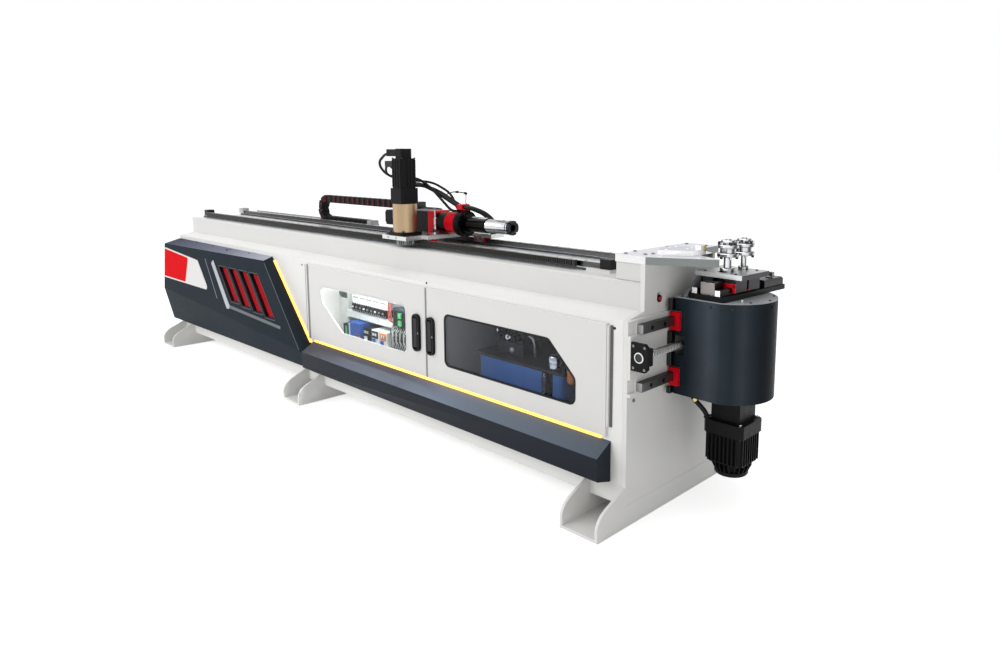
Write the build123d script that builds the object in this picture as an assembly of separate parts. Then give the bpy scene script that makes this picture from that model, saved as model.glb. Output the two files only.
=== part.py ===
from build123d import *
import os
from math import acos, cos, hypot, pi, radians, sin, sqrt, tan

# Driving dimensions in millimetres.
# Origin: floor, centre of the sole of the bend-end foot. +X to the bend head, -Y to the doors.

# Bed and cabinet
BED_LENGTH = 4058.0
FOOT_WIDTH = 178.0
FOOT_REACH = 500.0
FOOT_PLATE = 12.0
FOOT_TOP = 155.0
MIDDLE_FOOT_X = -2095.0
CABINET_HALF = 339.0
CABINET_BOTTOM = 85.0
CABINET_SHEET = 6.0
LEDGE_OUTER = 782.0
LEDGE_INNER = 800.0
END_THICK = 20.0
BEAM_HALF = 243.0
BEAM_TOP = 906.0
BEAM_BOTTOM = 788.0
BEAM_WALL = 10.0

# Rails of the feed axis, its rack and stops
SEAT_TOP = 917.0
RAIL_Y = 132.0
RAIL_WIDTH = 23.0
RAIL_HEIGHT = 22.0
RAIL_LEFT = -3905.0
RAIL_RIGHT = -195.0
MODULE = 4.0
PINION_TEETH = 20
BACKLASH = 0.7
RACK_PITCH_Y = -173.0
RACK_BACK_Y = -157.0
RACK_LOW = 920.0
RACK_HIGH = 943.0

# Table at the bend end
TABLE_TOP = 1000.0
TABLE_THICK = 28.0
TABLE_LEFT = -48.0
DIE_BED_TOP = 1020.0

# Bend head, its rails and its shift screw
PAD_FACE = 101.0
HEAD_RAIL_Z = (534.0, 748.0)
HEAD_RAIL_WIDTH = 34.0
HEAD_RAIL_HEIGHT = 27.0
HEAD_RAIL_ENDS = (-302.0, 335.0)
HEAD_PLATE_X = (149.0, 171.0)
SCREW_X = 137.0
SCREW_Z = 655.0
SCREW_RADIUS = 14.0
HEAD_X = 256.0
HEAD_Y = 75.0
CASING_LEFT = 121.0
CASING_RADIUS = 173.0
CASING_FLAT = 164.5
CASING_WALL = 5.0
CASING_LOW = 465.0
CASING_TOP = 836.0
LID_TOP = 839.5
MOTOR_X = 285.0
MOTOR_Y = 78.0

# Swing arm and its tool slide, drawn straight and then turned by the bend it stands at
BEND_X = 250.0
BEND_Y = 57.0
ARM_TURN = 3.5
ARM_X = 253.0
ARM_WIDTH = 154.0
ARM_ENDS = (-86.0, 342.0)
ARM_LOW = 841.0
ARM_HIGH = 860.0
ARM_RAIL_OFFSET = 49.0
TOOL_PLATE_WIDTH = 202.0
TOOL_PLATE_ENDS = (-9.0, 179.0)
TOOL_PLATE_LOW = 914.0
TOOL_PLATE_TOP = 933.0
CLAMP_REACH = 87.0
DISC_RADIUS = 40.0
GROOVE_RADIUS = 30.0

# Feed carriage and chuck
CARRIAGE_LOW = 948.0
CARRIAGE_TOP = 968.0
FEED_X = -1389.0
CHUCK_Z = 1023.0
COLLET_BORE = 16.0

# Cable chain
CHAIN_Y = (180.0, 238.0)
CHAIN_LOW = 910.0
CHAIN_OUTER = 92.0
CHAIN_INNER = 46.0
CHAIN_LOOP_X = -2815.0
CHAIN_FIXED_X = -2325.0
CHAIN_MOVING_X = -1840.0

# Inside the bays
PANEL_Y = -72.0
TANK_X = (-823.0, -305.0)
TANK_Y = (-240.0, 200.0)
TANK_TOP = 473.0

# Fairing, skirt and doors
FAIRING_SHEET = 3.0
FAIRING_BOTTOM = 180.0
FAIRING_TOP = 760.0
SEAM_X = -2107.0
SEAM_Z = 268.0
SKIRT_RIGHT = 20.0
DOOR_THICK = 12.0
DOOR_LOW = 334.0
DOOR_HIGH = 760.0
DOOR_LEFT_X = (-2141.0, -1063.5)
DOOR_RIGHT_X = (-1060.5, 2.0)
DOOR_LIP = 25.0

# Sizes that follow from those above
END_X = FOOT_WIDTH / 2
LEFT_X = END_X - BED_LENGTH
INNER_LEFT = LEFT_X + END_THICK
INNER_RIGHT = END_X - END_THICK
WALL_Y = -CABINET_HALF
PITCH_RADIUS = MODULE * PINION_TEETH / 2
FEED_Y = RACK_PITCH_Y - PITCH_RADIUS
CHAIN_AXIS_Z = CHAIN_LOW + CHAIN_OUTER

os.makedirs("parts", exist_ok=True)


def save(name, *pieces):
    """Write one node, whatever number of solids it holds."""
    solids = [solid for piece in pieces for solid in piece.solids()]
    shape = solids[0] if len(solids) == 1 else Compound(children=solids)
    export_step(shape, f"parts/{name}.step")


def block(x0, x1, y0, y1, z0, z1):
    """Box between two corners."""
    return Pos((x0 + x1) / 2, (y0 + y1) / 2, (z0 + z1) / 2) * Box(x1 - x0, y1 - y0, z1 - z0)


def rod_x(x0, x1, y, z, radius):
    return Pos((x0 + x1) / 2, y, z) * Rot(0, 90, 0) * Cylinder(radius, x1 - x0)


def rod_y(x, y0, y1, z, radius):
    return Pos(x, (y0 + y1) / 2, z) * Rot(90, 0, 0) * Cylinder(radius, y1 - y0)


def rod_z(x, y, z0, z1, radius):
    return Pos(x, y, (z0 + z1) / 2) * Cylinder(radius, z1 - z0)


def prism_x(points, x0, x1):
    """Outline in Y and Z, pulled along X."""
    return extrude(Plane.YZ.offset(x0) * make_face(Polyline(*points, close=True)), x1 - x0)


def prism_y(points, y0, y1):
    """Outline in X and Z, pulled along Y."""
    return extrude(Plane.XZ.offset(-y1) * make_face(Polyline(*points, close=True)), y1 - y0)


def prism_z(points, z0, z1):
    """Outline in X and Y, pulled along Z."""
    return extrude(Plane.XY.offset(z0) * make_face(Polyline(*points, close=True)), z1 - z0)


def post(x, y, z0, z1, side, chamfer):
    """Square column with chamfered corners."""
    h = side / 2
    c = h - chamfer
    corners = [(c, -h), (h, -c), (h, c), (c, h), (-c, h), (-h, c), (-h, -c), (-c, -h)]
    return prism_z([(x + u, y + v) for u, v in corners], z0, z1)


def keep_behind(solid, point, normal):
    """Cut a solid by a plane and keep the side that the normal leaves."""
    return split(solid, bisect_by=Plane(origin=point, z_dir=normal), keep=Keep.BOTTOM)


def saddle(length, width, low, high, slot_width, slot_height):
    """Rail block along local X, standing over a rail whose seat is at local Z = 0."""
    body = block(-length / 2, length / 2, -width / 2, width / 2, low, high)
    return body - block(-length, length, -slot_width / 2, slot_width / 2, 0, slot_height)


def hose(name, points, radius):
    """Hose through its corner points, with the widest tangent arcs that fit."""
    radii = []
    for before, corner, after in zip(points, points[1:], points[2:]):
        a = Vector(*corner) - Vector(*before)
        b = Vector(*after) - Vector(*corner)
        turn = radians(a.get_angle(b))
        radii.append(0.45 * min(a.length, b.length) / tan(turn / 2))
    path = FilletPolyline(*points, radius=radii)
    tube = sweep((path ^ 0) * Circle(radius), path=path)
    expected = pi * radius ** 2 * path.length
    print(name, "bend radii", [round(r) for r in radii], "volume ratio", round(tube.volume / expected, 3))
    return tube


# Feet: a base plate and two side plates that slope down to a round end
def foot(x):
    half = FOOT_WIDTH / 2
    base = block(x - half, x + half, -FOOT_REACH, FOOT_REACH, 0, FOOT_PLATE)
    edges = [Line((-FOOT_REACH, FOOT_PLATE), (-FOOT_REACH, 40))]
    edges += [Bezier((-FOOT_REACH, 40), (-FOOT_REACH, 74), (-478, 98), (-430, 117))]
    edges += [Polyline((-430, 117), (WALL_Y, FOOT_TOP), (WALL_Y, CABINET_BOTTOM), (-WALL_Y, CABINET_BOTTOM),
                       (-WALL_Y, FOOT_TOP), (430, 117))]
    edges += [Bezier((430, 117), (478, 98), (FOOT_REACH, 74), (FOOT_REACH, 40))]
    edges += [Polyline((FOOT_REACH, 40), (FOOT_REACH, FOOT_PLATE), (-FOOT_REACH, FOOT_PLATE))]
    outline = make_face(edges)
    sides = [extrude(Plane.YZ.offset(side) * outline, FOOT_PLATE) for side in (x - half, x + half - FOOT_PLATE)]
    return [base] + sides


save("feet", *foot(0), *foot(MIDDLE_FOOT_X), *foot(LEFT_X + FOOT_WIDTH / 2))

# Cabinet: sheets in strips round the two door openings
SHEET_TOP = LEDGE_OUTER - CABINET_SHEET
OPEN_LOW = DOOR_LOW + DOOR_LIP
OPEN_HIGH = DOOR_HIGH - DOOR_LIP
OPENINGS = [(DOOR_LEFT_X[0] + DOOR_LIP, DOOR_LEFT_X[1] - DOOR_LIP),
            (DOOR_RIGHT_X[0] + DOOR_LIP, DOOR_RIGHT_X[1] - DOOR_LIP)]
front = (WALL_Y, WALL_Y + CABINET_SHEET)
strips = [block(INNER_LEFT, INNER_RIGHT, *front, CABINET_BOTTOM, OPEN_LOW),
          block(INNER_LEFT, INNER_RIGHT, *front, OPEN_HIGH, SHEET_TOP),
          block(INNER_LEFT, OPENINGS[0][0], *front, OPEN_LOW, OPEN_HIGH),
          block(OPENINGS[0][1], OPENINGS[1][0], *front, OPEN_LOW, OPEN_HIGH),
          block(OPENINGS[1][1], INNER_RIGHT, *front, OPEN_LOW, OPEN_HIGH)]
back = block(INNER_LEFT, INNER_RIGHT, -WALL_Y - CABINET_SHEET, -WALL_Y, CABINET_BOTTOM, SHEET_TOP)
LEDGE = [(-CABINET_HALF, LEDGE_OUTER), (-BEAM_HALF, LEDGE_INNER),
         (-BEAM_HALF, LEDGE_INNER - CABINET_SHEET), (-CABINET_HALF, SHEET_TOP)]
REAR_LEDGE = [(-y, z) for y, z in LEDGE]
ledges = [prism_x(points, INNER_LEFT, INNER_RIGHT) for points in (LEDGE, REAR_LEDGE)]
save("cabinet_sheets", *strips, back, *ledges)

INSIDE = CABINET_HALF - CABINET_SHEET
FLOOR_TOP = CABINET_BOTTOM + CABINET_SHEET
PARTITION_X = (DOOR_LEFT_X[0] - 25, (DOOR_LEFT_X[1] + DOOR_RIGHT_X[0]) / 2)
plates = [block(INNER_LEFT, INNER_RIGHT, -INSIDE, INSIDE, CABINET_BOTTOM, FLOOR_TOP)]
for x in PARTITION_X:
    plates.append(block(x - 3, x + 3, -INSIDE, INSIDE, FLOOR_TOP, SHEET_TOP - 4))
save("cabinet_inner_plates", *plates)

# End plates, the bend end with raised pads for the head rails
TABLE_LOW = TABLE_TOP - TABLE_THICK
skirt_outline = [(-CABINET_HALF, CABINET_BOTTOM), (CABINET_HALF, CABINET_BOTTOM), (CABINET_HALF, LEDGE_OUTER),
                 (BEAM_HALF, LEDGE_INNER)]
closing = [(-BEAM_HALF, LEDGE_INNER), (-CABINET_HALF, LEDGE_OUTER)]
left_plate = prism_x(skirt_outline + [(BEAM_HALF, BEAM_TOP), (-BEAM_HALF, BEAM_TOP)] + closing, LEFT_X, INNER_LEFT)
right_plate = prism_x(skirt_outline + [(BEAM_HALF, TABLE_LOW), (-BEAM_HALF, TABLE_LOW)] + closing,
                      INNER_RIGHT, END_X)
pads = block(END_X, PAD_FACE, -CABINET_HALF, CABINET_HALF, 500, LEDGE_OUTER)
for z in HEAD_RAIL_Z:
    pads -= block(END_X, PAD_FACE, -CABINET_HALF, HEAD_RAIL_ENDS[0] - 1, z - 22, z + 30)
right_plate -= rod_x(INNER_RIGHT - 1, END_X + 1, -153, 850, 10)
save("end_plates", left_plate, right_plate, pads)

# Bed beam: a closed box with the rail seats and the table pedestal
edge = 8.0
outline = [(-BEAM_HALF, BEAM_BOTTOM), (BEAM_HALF, BEAM_BOTTOM), (BEAM_HALF, BEAM_TOP - edge),
           (BEAM_HALF - edge, BEAM_TOP), (edge - BEAM_HALF, BEAM_TOP), (-BEAM_HALF, BEAM_TOP - edge)]
beam = prism_x(outline, INNER_LEFT, INNER_RIGHT)
beam -= block(INNER_LEFT + 10, INNER_RIGHT + 1, BEAM_WALL - BEAM_HALF, BEAM_HALF - BEAM_WALL,
              BEAM_BOTTOM + BEAM_WALL, BEAM_TOP - BEAM_WALL)
for sign in (-1, 1):
    low, high = sorted((sign * 112.0, sign * 168.0))
    beam += block(INNER_LEFT, RAIL_RIGHT + 65, low, high, BEAM_TOP, SEAT_TOP)
pedestal = block(TABLE_LEFT, INNER_RIGHT, edge - BEAM_HALF, BEAM_HALF - edge, BEAM_TOP, TABLE_LOW)
save("bed_beam", beam, pedestal)

# Feed rails, stops and rack
rails = []
stops = []
for y in (-RAIL_Y, RAIL_Y):
    rails.append(block(RAIL_LEFT, RAIL_RIGHT, y - RAIL_WIDTH / 2, y + RAIL_WIDTH / 2,
                       SEAT_TOP, SEAT_TOP + RAIL_HEIGHT))
    for x in (RAIL_LEFT - 59, RAIL_RIGHT + 3):
        stops.append(block(x, x + 56, y - 22, y + 30, SEAT_TOP, SEAT_TOP + 40))
save("bed_rails", *rails)
save("rail_stops", *stops)

TOOTH_PITCH = pi * MODULE
RACK_LEFT_TEETH = 199
RACK_RIGHT_TEETH = 86
rack_points = []
for k in range(-RACK_LEFT_TEETH, RACK_RIGHT_TEETH):
    middle = FEED_X + (k + 0.5) * TOOTH_PITCH
    half = TOOTH_PITCH / 4 - BACKLASH / 4
    slope = tan(radians(20))
    root_half = half + 1.25 * MODULE * slope
    tip_half = half - MODULE * slope
    root_y = RACK_PITCH_Y + 1.25 * MODULE
    tip_y = RACK_PITCH_Y - MODULE
    rack_points += [(middle - root_half, root_y), (middle - tip_half, tip_y),
                    (middle + tip_half, tip_y), (middle + root_half, root_y)]
rack_points += [(rack_points[-1][0] + 2, RACK_BACK_Y), (rack_points[0][0] - 2, RACK_BACK_Y)]
rack = prism_z(rack_points, RACK_LOW, RACK_HIGH)
rack += block(rack_points[0][0], rack_points[-3][0], -166, RACK_BACK_Y, SEAT_TOP, RACK_LOW)
save("feed_rack", rack)


# Feed pinion: involute teeth, with a tooth on +Y at rest
def gear_outline(teeth, radius):
    base = radius * cos(radians(20))
    tip = radius + MODULE
    root = radius - 1.25 * MODULE
    half = (TOOTH_PITCH / 4 - BACKLASH / 4) / radius
    flank = [base + 0.05 + (tip - base - 0.05) * i / 5 for i in range(6)]
    points = []
    for k in range(teeth):
        centre = pi / 2 + 2 * pi * k / teeth
        spread = []
        for r in flank:
            angle = acos(base / r)
            roll = tan(radians(20)) - radians(20) - (tan(angle) - angle)
            spread.append((r, half + roll))
        side = [(root, spread[0][1])] + spread
        points += [(r * cos(centre - a), r * sin(centre - a)) for r, a in side]
        points += [(r * cos(centre + a), r * sin(centre + a)) for r, a in reversed(side)]
    return points


pinion = prism_z([(FEED_X + u, FEED_Y + v) for u, v in gear_outline(PINION_TEETH, PITCH_RADIUS)], 921, 942)
pinion += rod_z(FEED_X, FEED_Y, 942, 1010, 16)
save("feed_pinion", pinion)

# Table plate with its nose, the die bed on it and the tube guide
nose = [(TABLE_LEFT, -BEAM_HALF), (END_X, -BEAM_HALF), (312, -125), (312, -111), (235, -80), (208, -66), (205, -30),
        (205, 25), (150, 60), (104, 110), (104, BEAM_HALF), (TABLE_LEFT, BEAM_HALF)]
save("table_plate", prism_z(nose, TABLE_LOW, TABLE_TOP))
bed = prism_z([(64, -120), (97, -177), (112, -172), (203, -108), (203, -20), (60, -20)], TABLE_TOP, DIE_BED_TOP)
for x, y in ((80, -75), (80, -38), (150, -66), (150, -38), (108, -145)):
    bed -= rod_z(x, y, TABLE_TOP, DIE_BED_TOP, 7)
guide = block(180, 203, -58, -21, DIE_BED_TOP, 1034)
guide -= rod_x(170, 210, 0, CHUCK_Z, 30)
save("die_bed", bed, guide)

# Bend head rails, the shift screw and its supports
rails = []
for z in HEAD_RAIL_Z:
    half = HEAD_RAIL_WIDTH / 2
    rails.append(block(PAD_FACE, PAD_FACE + HEAD_RAIL_HEIGHT, *HEAD_RAIL_ENDS, z - half, z + half))
save("head_rails", *rails)
supports = []
for flange, boss in (((-337, -323), (-323, -292)), ((318, 334), (300, 318))):
    piece = block(PAD_FACE, 173, *flange, SCREW_Z - 52, SCREW_Z + 52)
    piece = chamfer(piece.edges().filter_by(Axis.Y).sort_by(Axis.X)[-2:], 12)
    piece += block(PAD_FACE, 166, *boss, SCREW_Z - 32, SCREW_Z + 32)
    piece -= rod_y(SCREW_X, -340, 340, SCREW_Z, SCREW_RADIUS + 0.3)
    supports.append(piece)
save("screw_supports", *supports)
save("ball_screw", rod_y(SCREW_X, -339, 372, SCREW_Z, SCREW_RADIUS))
motor = block(103, 171, 334, 352, SCREW_Z - 34, SCREW_Z + 34)
motor += block(104, 170, 352, 452, SCREW_Z - 33, SCREW_Z + 33)
motor += block(110, 164, 452, 492, SCREW_Z - 27, SCREW_Z + 27)
motor -= rod_y(SCREW_X, 333, 380, SCREW_Z, SCREW_RADIUS + 0.3)
save("shift_motor", motor)

# Bend head: rail blocks, plate, nut, casing, lid, reducer and motor
blocks = []
for z in HEAD_RAIL_Z:
    for y0, y1 in ((-104.5, 8), (150, 262)):
        place = Plane(origin=(PAD_FACE, (y0 + y1) / 2, z), x_dir=(0, 1, 0), z_dir=(1, 0, 0))
        blocks.append(place.location * saddle(y1 - y0, 70, 7, HEAD_PLATE_X[0] - PAD_FACE,
                                              HEAD_RAIL_WIDTH + 1, HEAD_RAIL_HEIGHT + 0.5))
save("head_blocks", *blocks)

INNER_FLAT = CASING_FLAT - CASING_WALL
plate = block(*HEAD_PLATE_X, HEAD_Y - INNER_FLAT, HEAD_Y + INNER_FLAT, CASING_LOW + CASING_WALL, CASING_TOP)
plate -= block(HEAD_PLATE_X[0], 163, -200, 400, SCREW_Z - 42, SCREW_Z + 42)
save("head_plate", plate)
nut = block(104, 163, HEAD_Y - 40, HEAD_Y + 40, SCREW_Z - 33, SCREW_Z + 33)
nut += rod_y(SCREW_X, HEAD_Y + 40, HEAD_Y + 75, SCREW_Z, 25)
nut -= rod_y(SCREW_X, -100, 300, SCREW_Z, SCREW_RADIUS + 0.3)
save("ball_nut", nut)


def head_outline(inset):
    """Flat back and sides with a round front, drawn about the bend axis."""
    radius = CASING_RADIUS - inset
    flat = CASING_FLAT - inset
    reach = sqrt(radius ** 2 - flat ** 2)
    sides = Polyline((HEAD_X + reach, HEAD_Y + flat), (CASING_LEFT, HEAD_Y + flat),
                     (CASING_LEFT, HEAD_Y - flat), (HEAD_X + reach, HEAD_Y - flat))
    nose_arc = ThreePointArc((HEAD_X + reach, HEAD_Y - flat), (HEAD_X + radius, HEAD_Y),
                             (HEAD_X + reach, HEAD_Y + flat))
    return make_face([sides, nose_arc])


casing = extrude(Plane.XY.offset(CASING_LOW) * head_outline(0), CASING_TOP - CASING_LOW)
casing -= extrude(Plane.XY.offset(CASING_LOW + CASING_WALL) * head_outline(CASING_WALL), 500)
casing -= block(MOTOR_X - 60, MOTOR_X + 60, MOTOR_Y - 60, MOTOR_Y + 60, CASING_LOW - 1, CASING_LOW + 20)
for z in HEAD_RAIL_Z:
    casing -= block(0, HEAD_PLATE_X[0], -300, 500, z - 38, z + 38)
casing -= block(0, 163, -300, 500, SCREW_Z - 36, SCREW_Z + 36)
save("head_casing", casing)
lid = extrude(Plane.XY.offset(CASING_TOP) * head_outline(0), LID_TOP - CASING_TOP)
lid -= rod_z(BEND_X, BEND_Y, CASING_TOP - 1, LID_TOP + 1, 62)
save("head_lid", lid)

reducer = block(HEAD_PLATE_X[1], 350, HEAD_Y - 85, HEAD_Y + 85, 480, 800)
reducer = fillet(reducer.edges().filter_by(Axis.Z).sort_by(Axis.X)[-2:], 40)
reducer += block(MOTOR_X - 60, MOTOR_X + 60, MOTOR_Y - 60, MOTOR_Y + 60, 365, 480)
reducer += rod_z(BEND_X, BEND_Y, 800, 833, 60)
reducer -= rod_z(BEND_X, BEND_Y, 690, 840, 45.3)
save("bend_reducer", reducer)

motor = post(MOTOR_X, MOTOR_Y, 314, 365, 166, 14)
motor += post(MOTOR_X, MOTOR_Y, 200, 314, 150, 20)
for i in range(-3, 4):
    for side in (-75, 75):
        motor -= block(MOTOR_X + 17 * i - 4, MOTOR_X + 17 * i + 4, MOTOR_Y + side - 6, MOTOR_Y + side + 6, 206, 308)
        motor -= block(MOTOR_X + side - 6, MOTOR_X + side + 6, MOTOR_Y + 17 * i - 4, MOTOR_Y + 17 * i + 4, 206, 308)
motor += rod_z(MOTOR_X, MOTOR_Y, 145, 200, 44)
save("bend_motor", motor)
conduit_route = [(160, -24, CASING_LOW), (160, -24, 430), (214, 6, 400), (214, 6, 365)]
save("motor_conduit", hose("motor_conduit", conduit_route, 4))

# Swing arm: spindle with the die stack, plate, rails and the clamp cylinder
def turned(shape):
    """Turn a straight arm piece to the bend it stands at."""
    return shape.rotate(Axis((BEND_X, BEND_Y, 0), (0, 0, 1)), -ARM_TURN)


def stack(x, y, low, stem, foot):
    """Column of grooved rollers, turned from one bar."""
    rim = DISC_RADIUS - 2
    outline = [(0, low), (stem, low), (stem, 934), (foot, 934), (foot, 944), (foot - 2, 946), (stem, 946), (stem, 988)]
    for z in (988, 1020):
        outline += [(rim, z), (DISC_RADIUS, z + 2), (DISC_RADIUS, z + 11), (rim, z + 13), (GROOVE_RADIUS, z + 15)]
        outline += [(GROOVE_RADIUS, z + 30)] if z < 1000 else [(20, z + 15), (20, 1039)]
    outline += [(26, 1039), (28, 1041), (28, 1048), (26, 1050), (10, 1050), (10, 1054), (0, 1054)]
    if low >= 934:
        outline = [(0, low), (foot, low)] + outline[4:]
    column = revolve(make_face(Polyline([(r, 0, z) for r, z in outline], close=True)), Axis.Z)
    return Pos(x, y, 0) * column


spindle = rod_z(BEND_X, BEND_Y, 700, 834, 45)
spindle += rod_z(BEND_X, BEND_Y, 833.5, ARM_LOW, 58)
save("bend_spindle", spindle, stack(BEND_X, BEND_Y, ARM_HIGH, 15, 28))
half = ARM_WIDTH / 2
plate = block(ARM_X - half, ARM_X + half, *ARM_ENDS, ARM_LOW, ARM_HIGH)
plate = fillet(plate.edges().filter_by(Axis.Z).sort_by(Axis.Y)[:2], 12)
save("arm_plate", turned(plate))
rails = []
for side in (-ARM_RAIL_OFFSET, ARM_RAIL_OFFSET):
    middle = ARM_X + side
    rails.append(block(middle - 11.5, middle + 11.5, ARM_ENDS[0] + 2, ARM_ENDS[1] - 4, ARM_HIGH, ARM_HIGH + 22))
cylinder = block(ARM_X - 22, ARM_X + 22, ARM_ENDS[0] + 12, BEND_Y - 18, ARM_HIGH, 904)
cylinder += block(ARM_X - 30, ARM_X + 30, ARM_ENDS[0] + 12, -14, ARM_HIGH, 904)
thrust = block(ARM_X - 22, ARM_X + 22, BEND_Y + 18, ARM_ENDS[1] - 60, ARM_HIGH, 884)
save("arm_rails", *[turned(piece) for piece in rails + [cylinder, thrust]])

# Tool slide on the arm
blocks = []
for side in (-ARM_RAIL_OFFSET, ARM_RAIL_OFFSET):
    for y0, y1 in ((-4, 72), (84, 160)):
        place = Plane(origin=(ARM_X + side, (y0 + y1) / 2, ARM_HIGH), x_dir=(0, 1, 0), z_dir=(0, 0, 1))
        blocks.append(turned(place.location * saddle(y1 - y0, 48, 5, TOOL_PLATE_LOW - ARM_HIGH, 24, 22.5)))
save("slide_blocks", *blocks)
half = TOOL_PLATE_WIDTH / 2
plate = block(ARM_X - half, ARM_X + half, *TOOL_PLATE_ENDS, TOOL_PLATE_LOW, TOOL_PLATE_TOP)
plate -= block(BEND_X - 17, BEND_X + 17, BEND_Y - 44, BEND_Y + 22, TOOL_PLATE_LOW - 1, TOOL_PLATE_TOP + 1)
save("tool_plate", turned(plate))
clamp = stack(0, 0, TOOL_PLATE_TOP, 11, 20)
save("clamp_stack", turned(Pos(BEND_X + 14, BEND_Y + CLAMP_REACH, 0) * clamp))

# Feed carriage: plate with its tongue, rear wing and chain bracket
plate = block(-1580, -1262, -172, 174, CARRIAGE_LOW, CARRIAGE_TOP)
plate += block(-1487, -1290, -283, -172, CARRIAGE_LOW, CARRIAGE_TOP)
plate += block(-1262, -1080, 85, 174, CARRIAGE_LOW, CARRIAGE_TOP)
plate -= rod_z(FEED_X, FEED_Y, CARRIAGE_LOW - 1, CARRIAGE_TOP + 1, 17)
bracket = block(-1580, -1560, 120, 174, CARRIAGE_TOP, 1038)
bracket += block(CHAIN_MOVING_X, -1560, 120, CHAIN_Y[1], 1038, 1046)
bracket += block(CHAIN_MOVING_X, CHAIN_MOVING_X + 40, *CHAIN_Y, 1046, CHAIN_LOW + 2 * CHAIN_OUTER)
save("carriage_plate", plate, bracket)
blocks = []
for y, x0 in ((-RAIL_Y, -1560), (-RAIL_Y, -1345), (RAIL_Y, -1560), (RAIL_Y, -1241)):
    place = Pos(x0 + 41, y, SEAT_TOP)
    blocks.append(place * saddle(82, 46, 4, CARRIAGE_LOW - SEAT_TOP, RAIL_WIDTH + 1, RAIL_HEIGHT + 0.5))
save("carriage_blocks", *blocks)

gearbox = post(FEED_X, FEED_Y, CARRIAGE_TOP, 983, 122, 12)
gearbox += rod_z(FEED_X, FEED_Y, 983, 1124, 59)
gearbox -= rod_z(FEED_X, FEED_Y, CARRIAGE_TOP, 1012, 16.3)
save("feed_gearbox", gearbox)
motor = post(FEED_X, FEED_Y, 1124, 1200, 104, 10)
motor += post(FEED_X, FEED_Y, 1200, 1346, 90, 12)
motor += post(FEED_X, FEED_Y, 1346, 1393, 64, 10)
motor += rod_x(FEED_X - 92, FEED_X - 30, FEED_Y, 1369, 13)
motor += rod_x(FEED_X - 96, FEED_X - 40, FEED_Y, 1308, 15)
save("feed_motor", motor)
leads = [hose("encoder_lead", [(FEED_X - 92, FEED_Y, 1369), (-1540, FEED_Y, 1369), (-1613, FEED_Y, 1320),
                               (-1572, -184, 1256), (-1480, -122, 1245), (-1400, -116, 1245), (-1335, -88, 1200),
                               (-1262, -20, 1084), (-1208, -20, 1084)], 6.5),
         hose("power_lead", [(FEED_X - 96, FEED_Y, 1308), (-1540, FEED_Y, 1308), (-1572, -190, 1262),
                             (-1510, -126, 1232), (-1445, -80, 1232), (-1380, -35, 1222), (-1300, 15, 1168),
                             (-1258, 20, 1084), (-1208, 20, 1084)], 6)]

# Chuck: fixed housing, turning spindle and draw-in collet
housing = block(-1570, -1409, -52, 52, CARRIAGE_TOP + 3, CHUCK_Z + 52)
housing += block(-1409, -1359, -55, 55, CARRIAGE_TOP, CHUCK_Z + 55)
housing += rod_x(-1359, -1284, 0, CHUCK_Z, 50)
housing += rod_x(-1284, -1201, 0, CHUCK_Z, 54)
housing += rod_x(-1201, -1161, 0, CHUCK_Z, 64.5)
housing += block(-1208, -1174, -27, 27, CHUCK_Z + 40, 1094)
for y in (-27, 19.5):
    housing += block(-1208, -1174, y, y + 7.5, 1094, 1112)
housing -= rod_x(-1400, -1150, 0, CHUCK_Z, 36.3)
save("rotary_housing", housing)
motor = block(-1640, -1570, -44, 44, CHUCK_Z - 44, CHUCK_Z + 44)
motor += block(-1800, -1640, -40, 40, CHUCK_Z - 40, CHUCK_Z + 40)
motor += block(-1822, -1800, -30, 30, CHUCK_Z - 30, CHUCK_Z + 30)
save("rotary_motor", motor)
spindle = rod_x(-1390, -1160, 0, CHUCK_Z, 36)
spindle += rod_x(-1160, -1145, 0, CHUCK_Z, 50)
spindle += rod_x(-1145, -1005, 0, CHUCK_Z, 38)
spindle += rod_x(-1005, -865, 0, CHUCK_Z, 32.5)
spindle -= rod_x(-1020, -860, 0, CHUCK_Z, 24)
spindle -= rod_z(-900, 0, CHUCK_Z + 20, CHUCK_Z + 40, 6)
save("chuck_spindle", spindle)
collet = rod_x(-920, -857, 0, CHUCK_Z, 23.7)
collet += rod_x(-857, -835, 0, CHUCK_Z, 35)
collet -= rod_x(-925, -830, 0, CHUCK_Z, COLLET_BORE)
collet = chamfer(collet.faces().sort_by(Axis.X)[-1].edges().sort_by(SortBy.LENGTH)[:1], 3)
for turn in range(4):
    slot = Pos(-842, 0, CHUCK_Z) * Rot(45 + 90 * turn, 0, 0) * Pos(0, 0, 30) * Box(30, 7, 24)
    collet -= slot
save("collet", collet)

# Hoses: two from the back of the motor over the chuck to the rear wing, two from the chain to the rotary motor
hoses = []
for lane, start, rise in ((-9.5, FEED_X - 8, 1218), (9.5, FEED_X + 14, 1212)):
    route = [(start, FEED_Y + 45, rise), (start, -110, rise), (start + 36, -44 + lane, rise - 32),
             (-1215, lane, 1105), (-1140, lane, 1105), (-1110, 68 + lane, 1074), (-1100, 118 + lane, 1030),
             (-1100, 118 + lane, CARRIAGE_TOP)]
    hoses.append(hose("carriage_hose", route, 9))
    across = -1605 + 1.5 * lane
    route = [(CHAIN_MOVING_X + 40, 209 + 1.5 * lane, 1058), (across, 209 + 1.5 * lane, 1058), (across, 44, 1058)]
    hoses.append(hose("chain_hose", route, 8))
save("carriage_hoses", *hoses, *leads)

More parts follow.
